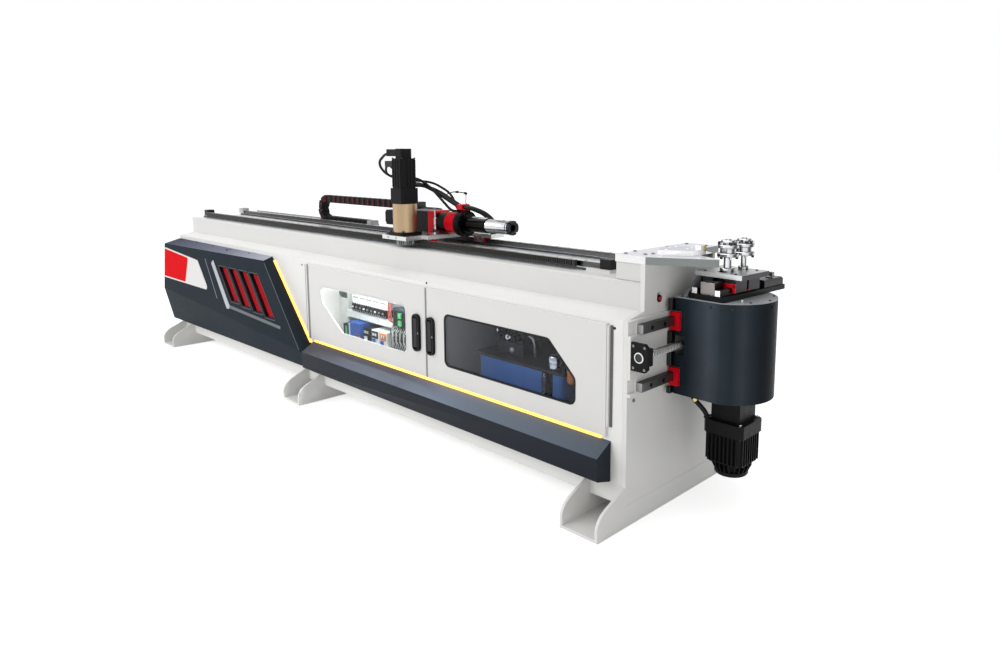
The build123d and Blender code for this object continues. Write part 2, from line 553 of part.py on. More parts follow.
# Cable chain on its tray, in three pieces
tray = block(LEFT_X + 25, CHAIN_FIXED_X + 40, 174, 242, BEAM_TOP, 909)
for y in (174, 240):
    tray += block(LEFT_X + 25, CHAIN_FIXED_X + 40, y, y + 2, 909, 934)
tray += block(CHAIN_FIXED_X, CHAIN_FIXED_X + 40, *CHAIN_Y, 909, CHAIN_LOW + 46)
save("chain_tray", tray)
save("chain_lower_run", block(CHAIN_LOOP_X, CHAIN_FIXED_X, *CHAIN_Y, CHAIN_LOW, CHAIN_LOW + 46))
save("chain_upper_run", block(CHAIN_LOOP_X, CHAIN_MOVING_X, *CHAIN_Y, CHAIN_AXIS_Z + 46, CHAIN_AXIS_Z + 92))
loop = rod_y(CHAIN_LOOP_X, *CHAIN_Y, CHAIN_AXIS_Z, CHAIN_OUTER)
loop -= rod_y(CHAIN_LOOP_X, 0, 500, CHAIN_AXIS_Z, CHAIN_INNER)
loop -= block(CHAIN_LOOP_X, CHAIN_LOOP_X + 200, 0, 500, 800, 1200)
save("chain_loop", loop)


# Fairing: a faceted shell on the left of the front
def fairing_solid(inset):
    """Faceted body, every face but the wall side moved in by the inset."""
    lean = (SEAM_Z - FAIRING_TOP) / (2552 + SEAM_X)
    slant = inset * hypot(1, 1 / lean)
    points = [(LEFT_X + inset, FAIRING_BOTTOM + inset), (SEAM_X - inset, FAIRING_BOTTOM + inset),
              (SEAM_X - inset, SEAM_Z - slant + inset), (-2552 - slant, FAIRING_TOP), (LEFT_X + inset, FAIRING_TOP)]
    body = prism_y(points, WALL_Y - 200, WALL_Y)
    body = keep_behind(body, (LEFT_X, WALL_Y, FAIRING_TOP - inset), (0, -0.273, 1))
    body = keep_behind(body, (LEFT_X, WALL_Y - 110 + inset, 730), (0.0304, -1, 0.0692))
    return keep_behind(body, (LEFT_X, WALL_Y - 78 + inset, FAIRING_BOTTOM), (0.0084, -1, -0.2328))


def slot_outline(i, grow):
    """One slanted slot of the fairing, in X and Z."""
    top = 648 + grow
    low = 450 - 12.5 * i - grow
    left = -3111 + 134 * i
    width = 102
    shift = 0.88 * (648 - low)
    lift = 0.88 * grow
    return [(left - grow - lift, top), (left + width + grow - lift, top),
            (left + width + grow + shift, low), (left - grow + shift, low)]


SLOTS = [prism_y(slot_outline(i, 0), WALL_Y - 200, WALL_Y - 1) for i in range(4)]
fairing = fairing_solid(0) - fairing_solid(FAIRING_SHEET)
for slot in SLOTS:
    fairing -= slot
save("fairing", fairing)
insert = prism_y([(-3150, 670), (-2560, 670), (-2330, 395), (-2920, 395)], WALL_Y - 200, WALL_Y)
insert = keep_behind(insert, (LEFT_X, WALL_Y - 110 + FAIRING_SHEET, 730), (0.0304, -1, 0.0692))
insert = keep_behind(insert, (LEFT_X, WALL_Y - 110 + FAIRING_SHEET + 30, 730), (-0.0304, 1, -0.0692))
pocket_face = (LEFT_X, WALL_Y - 110 + FAIRING_SHEET + 24, 730)
for slot in SLOTS:
    insert -= keep_behind(slot, pocket_face, (-0.0304, 1, -0.0692))
save("fairing_insert", insert)

# Skirt along the right of the front, and the light strips
shell = prism_x([(WALL_Y, 318), (WALL_Y - 82, 270), (WALL_Y - 76, 180), (WALL_Y, 159)], SEAM_X + 1, SKIRT_RIGHT)
shell -= prism_x([(WALL_Y, 314), (WALL_Y - 79, 268), (WALL_Y - 73, 183), (WALL_Y, 163)],
                 SEAM_X + 1 + FAIRING_SHEET, SKIRT_RIGHT - FAIRING_SHEET)
save("skirt", shell)
lights = [block(SEAM_X + 20, -24, WALL_Y - 8, WALL_Y, 319, 327),
          prism_y([(-2531, 738), (-2519, 738), (-2129, 307), (-2141, 307)], WALL_Y - 8, WALL_Y)]
save("light_strips", *lights)

# Doors, panes, hinges, latches and levers
WINDOW_LEFT = [(-1989, 655), (-1208, 655), (-1208, 417), (-1783, 417), (-1989, 566)]
WINDOW_RIGHT = [(-923, 655), (-286, 655), (-146, 522), (-146, 417), (-923, 417)]
DOOR_Y = (WALL_Y - DOOR_THICK - 0.5, WALL_Y - 0.5)


def window(points, y0, y1):
    body = prism_y(points, y0, y1)
    return fillet(body.edges().filter_by(Axis.Y), 28)


def latch_parts(x):
    """Latch body sunk round a lever, and the lever on its cross pin."""
    outline = Plane.XZ.offset(-DOOR_Y[0]) * Pos(x, 537) * RectangleRounded(53, 178, 24)
    body = extrude(outline, 13)
    body -= block(x - 14, x + 14, DOOR_Y[0] - 14, DOOR_Y[0] - 3, 458, 614)
    pivot_y = DOOR_Y[0] - 9
    body -= rod_x(x - 18, x + 18, pivot_y, 470, 3.3)
    lever = block(x - 12, x + 12, pivot_y - 5, pivot_y + 5, 470, 608)
    lever = fillet(lever.edges().filter_by(Axis.Y).sort_by(Axis.Z)[-2:], 9)
    lever += rod_x(x - 12, x + 12, pivot_y, 470, 5)
    lever += rod_x(x - 17.5, x + 17.5, pivot_y, 470, 3)
    return body, lever


for side, door_x, points, latch_x in (("left", DOOR_LEFT_X, WINDOW_LEFT, -1124.0),
                                      ("right", DOOR_RIGHT_X, WINDOW_RIGHT, -1018.0)):
    door = block(*door_x, *DOOR_Y, DOOR_LOW, DOOR_HIGH)
    save("door_" + side, door - window(points, DOOR_Y[0] - 1, DOOR_Y[1] + 1))
    save("window_" + side, window(points, DOOR_Y[0] + 3, DOOR_Y[0] + 8))
    body, lever = latch_parts(latch_x)
    save("latch_" + side, body)
    save("lever_" + side, lever)
hinges = []
for x, away in ((DOOR_LEFT_X[0] - 6, -1), (DOOR_RIGHT_X[1] + 6, 1)):
    near, far = sorted((x - 2 * away, x + 16 * away))
    leaf = block(near, far, WALL_Y - 4, WALL_Y, 372, 754)
    hinges.append(leaf + rod_z(x, WALL_Y - 8, 372, 754, 5))
save("piano_hinges", *hinges)

# Rear covers with air slots
covers = []
for x0, x1 in ((-3800, -2300), (-2080, -1110), (-1010, 0)):
    cover = block(x0, x1, -WALL_Y, -WALL_Y + 4, 200, 720)
    for z in range(300, 640, 40):
        for x in range(int(x0) + 120, int(x1) - 200, 260):
            cover -= block(x, x + 160, -WALL_Y + 1.5, -WALL_Y + 5, z, z + 12)
    covers.append(cover)
save("rear_covers", *covers)

# Electrical compartment: mounting panel, wire ducts, devices and drives
bay = (PARTITION_X[0] + 3, PARTITION_X[1] - 3)
panel = block(*bay, PANEL_Y, PANEL_Y + 3, FLOOR_TOP, 760)
DUCT_FRONT = bay[0] + 95
ducts = [block(DUCT_FRONT, bay[1] - 20, PANEL_Y - 60, PANEL_Y, z, z + 40) for z in (140, 270, 640)]
ducts.append(block(DUCT_FRONT, DUCT_FRONT + 440, PANEL_Y - 60, PANEL_Y, 436, 476))
ducts.append(block(bay[0] + 15, DUCT_FRONT, PANEL_Y - 60, PANEL_Y, 140, 680))
save("panel_plate", panel, *ducts)
devices = [block(DUCT_FRONT + 96, DUCT_FRONT + 436, PANEL_Y - 90, PANEL_Y, 536, 612)]
for i in range(9):
    x = DUCT_FRONT + 60 + 37 * i
    devices.append(block(x, x + 34, PANEL_Y - 70, PANEL_Y, 482, 532))
devices.append(block(DUCT_FRONT + 24, DUCT_FRONT + 68, PANEL_Y - 110, PANEL_Y, 325, 405))
devices.append(block(DUCT_FRONT + 76, DUCT_FRONT + 188, PANEL_Y - 110, PANEL_Y, 325, 424))
for i in range(3):
    x = DUCT_FRONT + 208 + 78 * i
    devices.append(block(x, x + 66, PANEL_Y - 95, PANEL_Y, 325, 410))
for x in (DUCT_FRONT + 498, DUCT_FRONT + 690):
    devices.append(block(x, x + 150, PANEL_Y - 100, PANEL_Y, 320, 562))
for i in range(2):
    x = DUCT_FRONT + 60 + 330 * i
    devices.append(block(x, x + 300, PANEL_Y - 48, PANEL_Y, 195, 250))
save("panel_devices", *devices)

# Hydraulic compartment: tank, lid and pump set
tank = block(*TANK_X, *TANK_Y, FLOOR_TOP, TANK_TOP)
tank = fillet(tank.edges().filter_by(Axis.Z), 30)
tank -= block(TANK_X[0] + 10, TANK_X[1] - 10, TANK_Y[0] + 10, TANK_Y[1] - 10, FLOOR_TOP + 6, TANK_TOP + 1)
save("oil_tank", tank)
LID = TANK_TOP + 12
top = block(TANK_X[0] - 12, TANK_X[1] + 12, TANK_Y[0] - 12, TANK_Y[1] + 12, TANK_TOP, LID)
top += rod_z(TANK_X[1] - 68, TANK_Y[0] + 28, LID, LID + 52, 26)
pump = rod_z(TANK_X[1] - 130, 40, LID, LID + 178, 80)
pump += rod_z(TANK_X[1] - 130, 40, LID + 178, LID + 215, 58)
valves = block(TANK_X[0] + 70, TANK_X[0] + 230, TANK_Y[0] + 60, TANK_Y[0] + 170, LID, LID + 52)
for i in range(3):
    x = TANK_X[0] + 82 + 50 * i
    valves += block(x, x + 36, TANK_Y[0] + 70, TANK_Y[0] + 160, LID + 52, LID + 110)
save("pump_unit", top, pump, valves)
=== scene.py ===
from itertools import product
from math import cos, dist, pi, radians, sin

import bmesh
import bpy
from mathutils import Matrix, Vector


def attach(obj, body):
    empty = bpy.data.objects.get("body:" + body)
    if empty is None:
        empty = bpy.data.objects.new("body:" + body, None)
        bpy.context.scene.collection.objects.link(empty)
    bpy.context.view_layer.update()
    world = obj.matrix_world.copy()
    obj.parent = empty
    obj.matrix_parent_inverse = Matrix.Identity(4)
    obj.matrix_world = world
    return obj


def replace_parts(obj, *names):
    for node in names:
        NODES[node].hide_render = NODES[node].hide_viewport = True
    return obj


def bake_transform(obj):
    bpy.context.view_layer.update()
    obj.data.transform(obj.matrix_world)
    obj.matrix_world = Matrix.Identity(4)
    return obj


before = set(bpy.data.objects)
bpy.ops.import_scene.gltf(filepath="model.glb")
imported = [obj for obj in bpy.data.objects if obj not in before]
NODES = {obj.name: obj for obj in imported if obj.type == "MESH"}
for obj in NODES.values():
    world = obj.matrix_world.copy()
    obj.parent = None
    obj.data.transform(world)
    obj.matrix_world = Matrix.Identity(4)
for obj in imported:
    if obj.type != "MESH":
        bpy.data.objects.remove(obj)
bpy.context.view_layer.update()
scene = bpy.context.scene

# Places shared with the solids, in millimetres
MM = 0.001
LEFT_X = -3969
WALL_Y = -339
DOOR_FACE = -351.5
FAIRING_TOP = 760
GEAR_X, GEAR_Y = -1389, -213
CHUCK_Z = 1023
MOTOR_X, MOTOR_Y = 285, 78
SCREW_X, SCREW_Z = 137, 655
BEND = Vector((0.25, 0.057, 0))
ARM_TURN = radians(-3.5)
PANEL_Y = -72
BAY_X = -2163
DUCT_X = BAY_X + 95
CHAIN_Y = (180, 238)
CHAIN_X, CHAIN_Z = -2815, 1002
CHAIN_BORE = 46
CHAIN_PITCH = 56.2
CHAIN_START = -2697
UPPER_REACH = 935
LOWER_END, LOWER_REACH = -2325, 490
SLOT_TOP, SLOT_SLANT = 648, 0.88
WINDOW_LEFT = [(-1989, 655), (-1208, 655), (-1208, 417), (-1783, 417), (-1989, 566)]
WINDOW_RIGHT = [(-923, 655), (-286, 655), (-146, 522), (-146, 417), (-923, 417)]
UP, DOWN, FRONT, BACK, END = (0, 0, 1), (0, 0, -1), (0, -1, 0), (0, 1, 0), (1, 0, 0)

# Edges: what is welded, in metres, and the angles from which they are rounded and shaded sharp
WELD_REACH = 0.00002
BEVEL_ANGLE = radians(50)
SHARP_ANGLE = radians(35)


def placed(name, data):
    """A new object in the scene."""
    obj = bpy.data.objects.new(name, data)
    scene.collection.objects.link(obj)
    return obj


class Tree:
    """Small helper that adds to a node tree."""

    def __init__(self, tree):
        self.tree = tree

    def feed(self, socket, value):
        """Link a socket to an output, or set it to a number, a direction or a colour."""
        if isinstance(value, bpy.types.NodeSocket):
            self.tree.links.new(value, socket)
        elif isinstance(value, tuple):
            socket.default_value = (*value, 1)[:len(socket.default_value)]
        else:
            socket.default_value = value

    def add(self, kind, inputs, **values):
        """A node with its properties set and its inputs fed."""
        node = self.tree.nodes.new("ShaderNode" + kind)
        for key, value in values.items():
            setattr(node, key, value)
        for key, value in inputs.items():
            self.feed(node.inputs[key], value)
        return node


class Nodes(Tree):
    """The shader tree of one material."""

    def __init__(self, name):
        self.material = bpy.data.materials.new(name)
        self.material.use_nodes = True
        super().__init__(self.material.node_tree)
        self.tree.nodes.clear()
        self.shader = self.add("BsdfPrincipled", {})
        self.out = self.add("OutputMaterial", {"Surface": self.shader.outputs[0]})
        self.coords = self.add("TexCoord", {}).outputs["Object"]

    def normal(self):
        """Where the surface looks, in the axes of its piece."""
        return self.add("TexCoord", {}).outputs["Normal"]

    def split(self, vector):
        return self.add("SeparateXYZ", {0: vector}).outputs

    def noise(self, scale, detail=4, stretch=(1, 1, 1)):
        place = self.add("Mapping", {"Scale": stretch, "Vector": self.coords}).outputs[0]
        return self.add("TexNoise", {"Scale": scale, "Detail": detail, "Vector": place}).outputs["Fac"]

    def ramp(self, source, stops, constant=False):
        node = self.add("ValToRGB", {0: source})
        node.color_ramp.interpolation = "CONSTANT" if constant else "LINEAR"
        elements = node.color_ramp.elements
        while len(elements) < len(stops):
            elements.new(0.5)
        for element, (position, colour) in zip(elements, stops):
            element.position = position
            element.color = (*colour, 1)
        return node.outputs[0]

    def drift(self, source, colour, spread):
        """A colour that a noise makes darker and lighter."""
        return self.ramp(source, [(0.3, shade(colour, 1 - spread)), (0.7, shade(colour, 1 + spread))])

    def span(self, source, low, high, out_low=0, out_high=1):
        ends = {"From Min": low, "From Max": high, "To Min": out_low, "To Max": out_high}
        return self.add("MapRange", {"Value": source, **ends}).outputs[0]

    def patchy(self, source, low, high):
        """A value that a noise spreads from low to high."""
        return self.span(source, 0.3, 0.7, low, high)

    def math(self, kind, a, b=0):
        return self.add("Math", {0: a, 1: b}, operation=kind).outputs[0]

    def mix(self, factor, a, b, kind="MIX"):
        return self.add("Mix", {0: factor, 6: a, 7: b}, data_type="RGBA", blend_type=kind).outputs[2]

    def clouded(self, tone, noise, low):
        """The tone, dimmed by a noise down to a low share."""
        return self.mix(1, tone, self.ramp(noise, [(0.3, (low, low, low)), (0.7, (1, 1, 1))]), "MULTIPLY")

    def along(self, direction, source=None):
        """The part of a vector along a direction; of the place in metres, if none is given."""
        inputs = {0: source or self.coords, 1: direction}
        return self.add("VectorMath", inputs, operation="DOT_PRODUCT").outputs["Value"]

    def surface(self, colour, rough, metal=0, bump=None, strength=0.1, distance=0.001, specular=0.5):
        inputs = {"Base Color": colour, "Roughness": rough, "Metallic": metal, "Specular IOR Level": specular}
        if bump:
            relief = {"Strength": strength, "Distance": distance, "Height": bump}
            inputs["Normal"] = self.add("Bump", relief).outputs[0]
        for key, value in inputs.items():
            self.feed(self.shader.inputs[key], value)
        return self.material

    def glow(self, colour, strength):
        self.feed(self.shader.inputs["Emission Color"], colour)
        self.feed(self.shader.inputs["Emission Strength"], strength)

    def sprayed(self, tone, low, high, strength=0.05, specular=0.5, metal=0):
        """Sprayed paint: patchy gloss and fine orange peel."""
        rough = self.patchy(self.noise(60, 6), low, high)
        return self.surface(tone, rough, metal, self.noise(900, 2), strength, 0.0006, specular)


def shade(colour, factor):
    return tuple(min(1, c * factor) for c in colour)


def paint(name, colour, rough, specular=0.5, spread=0.05, strength=0.06):
    """Sprayed paint with a slight tone drift."""
    n = Nodes(name)
    return n.sprayed(n.drift(n.noise(3), colour, spread), rough - 0.06, rough + 0.08, strength, specular)


def paint_with_top_highlight(name, colour, top, reach, specular=0.06):
    """Sprayed paint with a painted highlight, graded along X over its reach, where the surface looks up."""
    n = Nodes(name)
    up = n.span(n.split(n.normal())["Z"], 0.7, 0.8)
    top_highlight = n.ramp(n.span(n.along(END), *reach), top)
    return n.sprayed(n.mix(up, n.drift(n.noise(3), colour, 0.06), top_highlight), 0.35, 0.48, specular=specular)


def painted_band_casing(name, flat, curve):
    """Satin paint on the casing, with painted highlights and painted shade in soft bands along its flat sides and
    round its curve.
    """
    n = Nodes(name)
    turn = n.split(n.normal())["X"]
    side = n.ramp(n.span(n.along(END), 0.13, 0.31), flat)
    tone = n.mix(n.math("GREATER_THAN", turn, 0.2), side, n.ramp(n.span(turn, 0.3, 1), curve))
    return n.sprayed(n.clouded(tone, n.noise(7, 3), 0.85), 0.29, 0.42, specular=0.03)


def seated(name, colour, steel, shaded_flank):
    """White paint, with bare steel on top of the rail seats along the bed and painted shade, a dark copy of that
    steel, on the seat faces beside it.
    """
    n = Nodes(name)
    place = n.split(n.coords)
    seat = n.math("MULTIPLY", n.math("GREATER_THAN", place["Z"], 0.9055), n.math("LESS_THAN", place["X"], -0.25))
    streak = n.noise(12, 6, (1, 60, 60))
    bare = n.mix(n.math("GREATER_THAN", n.split(n.normal())["Z"], 0.7), n.drift(streak, shaded_flank, 0.2),
                 n.drift(streak, steel, 0.08))
    tone = n.mix(seat, n.drift(n.noise(3), colour, 0.012), bare)
    return n.sprayed(tone, 0.36, 0.48, specular=0.35, metal=seat)


def painted_reflection_metal(name, colour, rough, across, bands):
    """Bright turned metal with painted reflections: dark and light bands painted round its curve."""
    n = Nodes(name)
    turn = n.span(n.along(across, n.normal()), -1, 1)
    tone = n.ramp(turn, [(place, shade(colour, share)) for place, share in bands])
    grain = n.noise(14, 5, (30, 30, 4))
    rough_map = n.patchy(grain, rough - 0.03, rough + 0.04)
    return n.surface(n.clouded(tone, grain, 0.92), rough_map, 1, grain, 0.02, 0.0003)


def metal(name, colour, rough, stretch=(1, 60, 60), spread=0.1):
    """Machined metal: fine streaks along one direction, with cloudy handling marks."""
    n = Nodes(name)
    streak = n.noise(12, 6, stretch)
    blend = n.math("ADD", n.math("MULTIPLY", streak, 0.7), n.math("MULTIPLY", n.noise(9, 5), 0.3))
    rough_map = n.patchy(blend, rough - 0.06, rough + 0.06)
    return n.surface(n.drift(blend, colour, spread), rough_map, 1, streak, 0.05, 0.0004)


def plastic(name, colour, rough=0.5, specular=0.3, grain=1400):
    """Moulded plastic with a fine spark-eroded texture."""
    n = Nodes(name)
    tone = n.drift(n.noise(25, 5), colour, 0.1)
    rough_map = n.patchy(n.noise(80), rough - 0.06, rough + 0.06)
    return n.surface(tone, rough_map, 0, n.noise(grain, 2), 0.12, 0.0005, specular)


def zoned(name, direction, zones, end, specular=0.5):
    """Bands along one direction: where each starts in millimetres, its colour, roughness and metal share."""
    n = Nodes(name)
    low, high = zones[0][0] - 1, end + 1
    place = n.span(n.along(direction), low * MM, high * MM)
    starts = [0] + [(zone[0] - low) / (high - low) for zone in zones[1:]]
    colour = n.ramp(place, [(s, z[1]) for s, z in zip(starts, zones)], True)
    shares = n.ramp(place, [(s, (z[2], z[3], 0)) for s, z in zip(starts, zones)], True)
    finish = n.add("SeparateColor", {0: shares}).outputs
    rough_map = n.math("ADD", finish[0], n.patchy(n.noise(70), -0.05, 0.05))
    tone = n.clouded(colour, n.noise(20, 6), 0.9)
    return n.surface(tone, rough_map, finish[1], n.noise(600), 0.06, 0.0005, specular)


def glowing(name, colour, power):
    n = Nodes(name)
    drift = n.drift(n.noise(14), colour, 0.08)
    n.glow(drift, power)
    return n.surface(drift, 0.4)


def clear(name, tint, rough, gloss_share, haze=None):
    """Thin clear sheet: mostly see-through, with a faint tint, reflections and a pale haze that fades along X."""
    n = Nodes(name)
    through = n.add("BsdfTransparent", {0: n.drift(n.noise(4), tint, 0.02)})
    gloss = n.add("BsdfGlossy", {"Roughness": n.patchy(n.noise(7, 6), rough, rough + 0.06)})
    top = n.add("MixShader", {0: gloss_share, 1: through.outputs[0], 2: gloss.outputs[0]})
    if haze:
        # A pale diffuse layer, mixed in more towards one end along X.
        pale_layer = n.add("BsdfDiffuse", {0: n.drift(n.noise(6), (0.85, 0.87, 0.88), 0.03)})
        top = n.add("MixShader", {0: n.span(n.along(END), *haze), 1: top.outputs[0], 2: pale_layer.outputs[0]})
    n.feed(n.out.inputs["Surface"], top.outputs[0])
    return n.material


def red_with_painted_pocket_shade(name, face, side):
    """Red where the surface looks to the front, with painted shade, near black, on the pocket walls."""
    n = Nodes(name)
    front = n.math("GREATER_THAN", n.math("ABSOLUTE", n.split(n.normal())["Y"]), 0.9)
    tone = n.mix(front, side, n.drift(n.noise(12), face, 0.08))
    return n.surface(tone, n.patchy(n.noise(60), 0.34, 0.46), 0, n.noise(900, 2), 0.06, 0.0006)


def painted_light_metal(name, top, front, side, rough, drawn=(4, 50, 50)):
    """Ground metal in three tones of painted light and shade: looking up, looking to the front or back, looking to
    an end.
    """
    n = Nodes(name)
    look = n.split(n.normal())
    aside = n.math("GREATER_THAN", n.math("ABSOLUTE", look["X"]), 0.35)
    streak = n.noise(12, 6, drawn)
    edge = n.mix(aside, n.drift(streak, front, 0.08), n.drift(streak, side, 0.12))
    tone = n.mix(n.math("GREATER_THAN", look["Z"], 0.7), edge, n.drift(streak, top, 0.06))
    return n.surface(tone, n.patchy(streak, rough - 0.06, rough + 0.06), 1, streak, 0.05, 0.0004)


INK = (0.004, 0.004, 0.005)
SCARLET = (0.7, 0.004, 0.014)
BRIGHT = (0.66, 0.67, 0.67)
SHELL = (0.79, 0.785, 0.765)
DARK_STEEL = (0.05, 0.052, 0.056)
KNUCKLE = (0.1, 0.1, 0.1)
WHITE = paint("white_paint", SHELL, 0.42, 0.35, 0.012)
FRONT_WHITE = paint("door_white", (0.74, 0.735, 0.717), 0.38, 0.35, 0.01)
SHEET_WHITE = paint("sheet_white", (0.85, 0.845, 0.825), 0.42, 0.35, 0.012)
# Bed: bare steel on the rail seats, with painted shade on the seat faces that don't look up.
BED_WHITE = seated("bed_white", (0.71, 0.705, 0.69), (0.8, 0.81, 0.82), DARK_STEEL)
# Fairing and skirt: the second ramp is a painted highlight on the facets that look up, graded along X.
FAIRING = paint_with_top_highlight("fairing_paint", (0.021, 0.029, 0.038), [
    (0, (0.045, 0.055, 0.085)), (0.6, (0.175, 0.185, 0.25)), (1, (0.42, 0.43, 0.5))], (-3.96, -2.52), 0.015)
SKIRT = paint_with_top_highlight("skirt_paint", (0.019, 0.0235, 0.031), [
    (0, (0.085, 0.088, 0.105)), (0.4, (0.1, 0.115, 0.155)), (0.55, (0.19, 0.23, 0.3)),
    (1, (0.1, 0.125, 0.155))], (-2.05, 0.02))
GUSSET = paint("gusset_paint", (0.155, 0.165, 0.185), 0.4, 0.2)
# Casing: both ramps are painted highlights and painted shade, banded along the flat sides and round the curve.
CASING = painted_band_casing("casing_paint", [
    (0, (0.014, 0.022, 0.03)), (0.25, (0.018, 0.028, 0.038)), (0.75, (0.07, 0.082, 0.1)),
    (1, (0.038, 0.05, 0.062))], [
    (0, (0.034, 0.046, 0.057)), (0.35, (0.024, 0.034, 0.043)), (0.6, (0.045, 0.055, 0.066)),
    (0.82, (0.022, 0.031, 0.04)), (1, (0.006, 0.008, 0.011))])
GREY = paint("grey_paint", (0.2, 0.212, 0.23), 0.4)
LID_GREY = paint("lid_paint", (0.3, 0.31, 0.325), 0.42)
PALE_GREY = paint("pale_grey_paint", (0.42, 0.43, 0.44), 0.4)
BLACK = paint("black_paint", INK, 0.38, 0.12, 0.2, 0.08)
PUMP = paint("pump_paint", (0.045, 0.045, 0.05), 0.4, 0.2)
BLUE = paint("tank_blue", (0.095, 0.25, 0.62), 0.38)
RED = paint("red_paint", (0.72, 0.002, 0.006), 0.45, 0.02, 0.03)
SLOT_RED = paint("slot_red", (0.36, 0.002, 0.008), 0.45, 0.03, 0.06)
# Slot backs: the near black pocket walls are painted shade.
SLOT_BACK = red_with_painted_pocket_shade("slot_back", (0.46, 0.004, 0.012), INK)
STEEL = metal("ground_steel", (0.62, 0.63, 0.62), 0.28)
MID_STEEL = metal("mid_steel", (0.24, 0.24, 0.245), 0.34)
FACE_STEEL = metal("face_steel", (0.3, 0.275, 0.265), 0.38, (60, 1, 60))
# Bed, head and arm rails, table, die bed and tool plate: each face's tone is painted light and shade by where it
# looks.
RAIL = painted_light_metal("rail_steel", (0.42, 0.43, 0.43), (0.08, 0.08, 0.082), (0.3, 0.3, 0.3), 0.24, (1, 80, 80))
HEAD_RAIL = painted_light_metal("head_rail_steel", (0.05, 0.05, 0.05), (0.3, 0.3, 0.295), (0.14, 0.14, 0.14), 0.4, (60, 1, 60))
ARM_RAIL = painted_light_metal("arm_rail_steel", (0.1, 0.1, 0.105), (0.86, 0.86, 0.86), (0.03, 0.03, 0.032), 0.3, (60, 1, 60))
TABLE = painted_light_metal("table_steel", (0.66, 0.67, 0.71), (0.62, 0.625, 0.62), (0.2, 0.222, 0.215), 0.36)
DIE_STEEL = painted_light_metal("die_steel", (0.54, 0.55, 0.58), (0.88, 0.88, 0.88), (0.92, 0.92, 0.92), 0.34)
TOOL = painted_light_metal("tool_steel", (0.43, 0.44, 0.44), BRIGHT, (0.06, 0.06, 0.065), 0.34)
# Chrome, sleeve, shaft and gold: the band ramps are painted reflections and painted highlights round each curve.
CHROME = painted_reflection_metal("chrome", (0.74, 0.75, 0.77), 0.12, (0.3, -0.85, 0.42), [
    (0, 0.4), (0.18, 0.06), (0.34, 0.7), (0.45, 0.07), (0.55, 0.9), (0.66, 1), (0.74, 0.1), (0.84, 0.14),
    (0.9, 0.9), (1, 1)])
SLEEVE = painted_reflection_metal("sleeve_steel", (0.8, 0.81, 0.82), 0.16, (0, 0.19, 0.98), [
    (0, 0.1), (0.07, 0.19), (0.235, 0.45), (0.45, 0.79), (0.66, 1), (0.76, 0.95), (0.82, 0.155), (0.93, 0.4),
    (1, 0.75)])
SHAFT = painted_reflection_metal("shaft_steel", (0.8, 0.81, 0.82), 0.2, (0, 0.19, 0.98), [
    (0, 0.006), (0.45, 0.012), (0.7, 0.03), (0.86, 0.06), (0.9, 0.75), (0.96, 0.8), (1, 0.35)])
HANDLE = metal("handle_steel", (0.03, 0.03, 0.032), 0.3, (60, 60, 4))
GOLD = painted_reflection_metal("gold_anodised", (0.5, 0.365, 0.225), 0.34, (0.95, -0.3, 0), [
    (0, 0.5), (0.18, 0.62), (0.34, 0.75), (0.47, 0.93), (0.6, 1), (0.72, 0.9), (0.8, 0.74), (0.9, 0.8),
    (1, 1)])
BLACKENED = metal("blackened_steel", (0.045, 0.045, 0.048), 0.36, (60, 60, 60), 0.2)
# Rack: its lighter top and dark front are painted light and shade.
RACK = painted_light_metal("rack_steel", (0.27, 0.265, 0.25), (0.07, 0.068, 0.062), (0.1, 0.1, 0.095), 0.4, (1, 60, 60))
BRASS = metal("brass", (0.7, 0.52, 0.22), 0.3, (30, 30, 4))
PLASTIC = plastic("black_plastic", (0.006, 0.006, 0.007), 0.5, 0.15)
RUBBER = plastic("hose_rubber", (0.005, 0.005, 0.006), 0.42, 0.2, 500)
RED_CAP = plastic("red_plastic", SCARLET, 0.4)
CHAIN_RED = plastic("chain_red", (0.24, 0.01, 0.014), 0.5, 0.15)
WIRE_RED = plastic("wire_red", (0.6, 0.1, 0.09))
PALE = plastic("pale_plastic", (0.7, 0.72, 0.71))
SKY = plastic("blue_plastic", (0.03, 0.11, 0.42), 0.45)
GREEN = plastic("green_plastic", (0.06, 0.42, 0.14), 0.45)
DARK_BLUE = plastic("dark_blue_plastic", (0.035, 0.05, 0.065))
DARK_GREEN = plastic("dark_green_plastic", (0.06, 0.085, 0.08))
ORANGE = plastic("orange_plastic", (0.7, 0.21, 0.03), 0.45)
TRIM = metal("silver_trim", (0.42, 0.44, 0.47), 0.4, (20, 60, 60))
DULL_TRIM = metal("dull_trim", (0.13, 0.14, 0.15), 0.45, (20, 60, 60))
# Grey for the strips that paint the shadow in the door gaps.
GAP_SHADOW_GREY = plastic("gap_shadow_grey", (0.25, 0.25, 0.245), 0.6)
AMBER = glowing("amber_light", (1, 0.5, 0.09), 2)
BAY_LIGHT = glowing("bay_light", (0.93, 1, 0.99), 42)
PANE = clear("clear_pane", (0.98, 0.99, 0.99), 0.04, 0.02)
DARK_PANE = clear("smoked_pane", (0.82, 0.84, 0.87), 0.05, 0.015, (-0.92, -0.58, 0.045, 0))
CARRIAGE = zoned("carriage_steel", UP, [
    (940, (0.66, 0.67, 0.66), 0.3, 1), (975, INK, 0.4, 0)], 1100)
HOUSING = zoned("housing_bands", END, [
    (-1570, INK, 0.36, 0), (-1409, SCARLET, 0.33, 0), (-1359, INK, 0.36, 0), (-1284, SCARLET, 0.33, 0),
    (-1201, INK, 0.32, 0)], -1150, 0.1)
RAIL_STOP = zoned("rail_stop_paint", BACK, [
    (-300, INK, 0.4, 0), (0, (0.55, 0.55, 0.54), 0.4, 0)], 300, 0.2)
HINGE = zoned("hinge_bands", END, [
    (-2170, KNUCKLE, 0.5, 0), (-2152, SHELL, 0.45, 0), (12, KNUCKLE, 0.5, 0)], 30)
